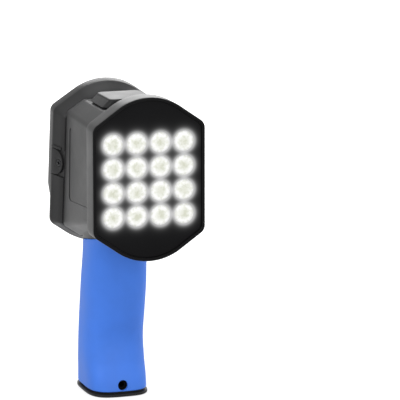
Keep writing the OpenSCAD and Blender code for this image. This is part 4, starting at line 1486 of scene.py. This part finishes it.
def make_shade_lip():
    """Raised black lip of key-mat rubber round the keypad, whose black also stands as painted shade in the
    gap round the keys.
    """
    # Reach past the keypad's oval and height over the fascia, round the lip's section
    section = [(-0.05, 0.02), (-0.05, 0.2), (0.1, 0.32), (0.75, 0.32), (0.9, 0.2), (0.9, 0.02)]
    rings = [[on_face(p, height) for p in ellipse(PAD_W / 2 + d, PAD_H / 2 + d, PAD_STEPS, (0, -PAD_DROP))]
             for d, height in section]
    dress(ring_piece("key_lip", rings, closed=True), seal_rubber)


def make_key_marks():
    pad_y = -PAD_DROP
    end_x = (PAD_W / 2 + KEY_SPLIT) / 2 - 0.6
    mid_x = KEY_SPLIT * 0.62
    lid_y = PAD_H * 0.29
    line = 0.46
    raised = 0.02

    def on_key(p):
        return key_height(p) + raised
    gap = math.radians(34)
    thin = line * 0.75
    power_mark = [[arc_band(-end_x, pad_y, 1.75, thin, math.pi / 2 + gap, math.pi / 2 + 2 * math.pi - gap)],
                  [bar(-end_x, pad_y + 1.55, thin, 1.05)]]
    # Points of the two line marks, from each mark's centre
    pulse = [(-2.7, -1.85), (-1.4, -1.85), (-1.4, 1.95), (1.4, 1.95), (1.4, -1.85), (2.7, -1.85)]
    mode = [(-1.5, -1.55), (-1.5, 1.55), (0, -0.4), (1.5, 1.55), (1.5, -1.55)]
    half = 1.95
    arm = (half - line) / 2
    off = (line + arm) * math.sqrt(0.5)
    times_mark = [[bar(mid_x, pad_y, half, line, math.pi / 4)]]
    plus_arm = 0.57
    plus_mark = [[bar(0, pad_y + lid_y, 1.6, line)]]
    for side in (-1, 1):
        times_mark.append([bar(mid_x + side * off, pad_y - side * off, arm, line, -math.pi / 4)])
        plus_mark.append([bar(0, pad_y + lid_y + side * (line + plus_arm), line, plus_arm)])
    marks = {
        "key_power": (power_mark, ink_red),
        "key_pulse": ([[stroke([(end_x + x, pad_y + y) for x, y in pulse], line * 1.15)]], ink_white),
        "key_mode": ([[stroke([(-mid_x + x, pad_y + y) for x, y in mode], thin)]], ink_white),
        "key_times": (times_mark, ink_white),
        "key_plus": (plus_mark, ink_white),
        "key_minus": ([[bar(0, pad_y - lid_y, 1.8, line)]], ink_white),
    }
    for key, (outlines, ink) in marks.items():
        flat_marks(key + "_mark", outlines, on_key, ink, key)


SEGMENTS = {"a": (0, 1, True), "b": (0.5, 0.5, False), "c": (0.5, -0.5, False), "d": (0, -1, True),
            "e": (-0.5, -0.5, False), "f": (-0.5, 0.5, False), "g": (0, 0, True)}
DIGITS = {"0": "abcdef", "1": "bc", "2": "abged", "3": "abgcd", "4": "fgbc", "5": "afgcd", "6": "afgedc",
          "7": "abc", "8": "abcdefg", "9": "abcdfg"}


def segment(x, y, half_l, half_t, flat, slant):
    """Six-sided display segment, leaning with the digit."""
    points = [(half_l, 0), (half_l - half_t, half_t), (half_t - half_l, half_t), (-half_l, 0),
              (half_t - half_l, -half_t), (half_l - half_t, -half_t)]
    if not flat:
        points = [(-py, px) for px, py in points]
    return [Vector((x + px + (y + py) * slant, y + py)) for px, py in points]


def digit(character, x, y, w, h, half_t, slant=0.06):
    outlines = []
    for name in DIGITS[character]:
        across, up, flat = SEGMENTS[name]
        half_l = (w if flat else h / 2) / 2 - 0.18
        shape = segment(across * w, up * h / 2, half_l, half_t, flat, slant)
        outlines.append([[p + Vector((x, y)) for p in shape]])
    return outlines


def text_outline_object(name, words, size, stretch, x, y):
    """Words as a flat mesh, centred at a place on the display."""
    curve = bpy.data.curves.new(name, "FONT")
    curve.body = words
    curve.size = size
    curve.align_x = "CENTER"
    curve.align_y = "CENTER"
    holder = new_object(name, curve)
    bpy.context.view_layer.update()
    mesh = bpy.data.meshes.new_from_object(holder.evaluated_get(bpy.context.evaluated_depsgraph_get()))
    bpy.data.objects.remove(holder)
    bpy.data.curves.remove(curve)
    bm = bmesh.new()
    bm.from_mesh(mesh)
    bpy.data.meshes.remove(mesh)
    for vert in bm.verts:
        vert.co = on_face((x + vert.co.x * stretch, y + vert.co.y), WORD_LIFT - LCD_DEPTH) * MM
    return from_bmesh(name, bm)


def make_display():
    dress_node("lcd_panel", lcd_grey)
    outlines = []
    digit_w, digit_h, digit_pitch = 5.5, 15.4, 8.9
    first_x, digits_y = -14.2, -2.05
    line = 0.95
    for k, character in enumerate("1528"):
        outlines += digit(character, first_x + digit_pitch * k, digits_y, digit_w, digit_h, line)
    battery_x, battery_y = 12.9, 13.9
    body = rounded_box(3.9, 2.1, 0.5, 3, (battery_x, battery_y))
    hollow = rounded_box(3.35, 1.55, 0.3, 3, (battery_x, battery_y))
    outlines.append([body, hollow])
    outlines.append([rounded_box(0.4, 1.0, 0.1, 2, (battery_x - 4.45, battery_y))])
    outlines += [[bar(battery_x + x, battery_y, 0.55, 1.15)] for x in (-1.8, 0.0, 1.8)]
    flat_marks("display_figures", outlines, FIGURE_LIFT - LCD_DEPTH, lcd_white, HOUSING)
    for name, words, size, stretch, x, y in (("display_unit", "FPM", 6.3, 1.33, -11.3, 14.8),
                                             ("display_factor", "X10", 5.4, 1.28, -0.9, -17.5)):
        mark = text_outline_object(name, words, size, stretch, x, y)
        dress(mark, lcd_white)


def dress_node(node, material):
    """Gives a node that stays in view its material."""
    mesh = nodes[node].data
    mesh.materials.clear()
    mesh.materials.append(material)


def dress_inner_nodes():
    finishes = {"led_emitters": led_yellow, "led_board": core_white, "lamp_gasket": seal_rubber,
                "heat_sink": sink_alloy, "board_screws": screw_steel, "lcd_frame": inner_black_and_shade,
                "display_board": board_green, "display_screws": screw_steel, "key_mat": seal_rubber,
                "key_domes": screw_steel, "driver_board": board_green, "driver_parts": inner_black_and_shade,
                "lead_socket": inner_black_and_shade, "battery_cells": cell_sleeve, "battery_cradle": inner_black_and_shade}
    for node, material in finishes.items():
        dress_node(node, material)


# Camera, floor and light

CAMERA_AZIMUTH = math.radians(-17.48)
CAMERA_ELEVATION = math.radians(11.14)
CAMERA_DISTANCE = 2114.5
PX_PER_MM = 1.546
PICTURE_PX = 400
LAMP_CENTRE_PX = (149.6, 179.8)
SENSOR_MM = 36
FLOOR_TONE = (0.5, 0.5, 0.5)
FLOOR_LIFT = 0.58
FLOOR_RADIUS = 6.0
FLOOR_GAP = 0.0002
FLOOR_NEAR = 0.25
FLOOR_FAR = 1.2
WORLD_LEVEL = 0.4
LAMP_AIM = Vector((0, -0.03, 0.12))
# Lamp: place in metres, size in metres, watts
LAMPS = [
    ("key", (-0.9, -0.55, 0.8), 0.6, 9.0),
    ("front", (0.1, -1.2, 0.5), 0.8, 5.5),
    ("rear", (0.4, 1.1, 0.75), 0.9, 8.5),
    ("side", (1.1, 0.0, 0.55), 0.8, 6.0),
    ("top", (-0.1, 0.1, 1.3), 0.9, 6.5),
]


def make_camera():
    a, e = CAMERA_AZIMUTH, CAMERA_ELEVATION
    right = Vector((math.cos(a), math.sin(a), 0))
    back = Vector((math.sin(a) * math.cos(e), -math.cos(a) * math.cos(e), math.sin(e)))
    up = back.cross(right)
    lamp_centre = Vector((0, lamp_y, head_z))
    off_right = (PICTURE_PX / 2 - LAMP_CENTRE_PX[0]) / PX_PER_MM
    off_down = (PICTURE_PX / 2 - LAMP_CENTRE_PX[1]) / PX_PER_MM
    target = lamp_centre + right * off_right - up * off_down
    place = lamp_centre + back * CAMERA_DISTANCE
    data = bpy.data.cameras.new("camera")
    data.sensor_width = SENSOR_MM
    data.lens = SENSOR_MM * PX_PER_MM * CAMERA_DISTANCE / PICTURE_PX
    data.clip_start = 0.05
    data.clip_end = 50
    camera = new_object("camera", data)
    camera.location = place * MM
    camera.rotation_mode = "QUATERNION"
    camera.rotation_quaternion = (target - place).to_track_quat("-Z", "Y")
    bpy.context.scene.camera = camera


def seen_rays(n):
    """1 for the rays that show the background: from the camera, in gloss and through glass."""
    path = n.add("ShaderNodeLightPath").outputs
    mirrored = n.math("MAXIMUM", path["Is Glossy Ray"], path["Is Transmission Ray"])
    return n.math("MAXIMUM", path["Is Camera Ray"], mirrored)


def make_floor():
    """Pale floor that turns white away from the object, where the lamps don't reach it."""
    bm = bmesh.new()
    bmesh.ops.create_circle(bm, cap_ends=True, segments=96, radius=FLOOR_RADIUS)
    floor = from_bmesh("floor", bm)
    floor.location.z = -FLOOR_GAP
    material, n, shader, place = new_material("pale floor")
    found = placed_group(n, GRAIN, place, Grain_size=2.0, Cloud_size=300.0)
    tone = n.ramp(found["Cloud"], [(0.3, scaled(FLOOR_TONE, 0.99)), (0.7, scaled(FLOOR_TONE, 1.01))])
    n.link(tone, shader.inputs["Base Color"])
    shader.inputs["Roughness"].default_value = 0.8
    shader.inputs["Specular IOR Level"].default_value = 0.1
    length = n.add("ShaderNodeVectorMath", operation="LENGTH")
    n.link(place, length.inputs[0])
    lift = n.spread(length.outputs["Value"], FLOOR_NEAR, FLOOR_FAR, FLOOR_LIFT, 1.0)
    shader.inputs["Emission Color"].default_value = (1, 1, 1, 1)
    n.link(n.math("MULTIPLY", lift, seen_rays(n)), shader.inputs["Emission Strength"])
    floor.data.materials.append(material)


def make_world():
    world = bpy.data.worlds.new("studio")
    bpy.context.scene.world = world
    world.use_nodes = True
    n = Nodes(world.node_tree)
    background = world.node_tree.nodes["Background"]
    background.inputs["Color"].default_value = (1, 1, 1, 1)
    n.link(n.spread(seen_rays(n), 0, 1, WORLD_LEVEL, 1.0), background.inputs["Strength"])


def make_lamps():
    for name, place, size, watts in LAMPS:
        data = bpy.data.lights.new(name, "AREA")
        data.shape = "DISK"
        data.size = size
        data.energy = watts
        lamp = new_object(name, data)
        lamp.location = place
        lamp.rotation_mode = "QUATERNION"
        lamp.rotation_quaternion = (LAMP_AIM - Vector(place)).to_track_quat("-Z", "Y")


make_camera()
make_floor()
make_world()
make_lamps()
make_lamp_head()
make_lenses()
make_body_half("body_left", 1, "left_shell")
make_body_half("body_right", -1, "right_shell")
make_top_cover()
make_display_housing()
make_fascia()
make_display()
make_keys()
make_shade_lip()
make_key_marks()
make_grip()
make_foot()
make_screws()
dress_inner_nodes()

bpy.context.scene.view_settings.view_transform = "Standard"
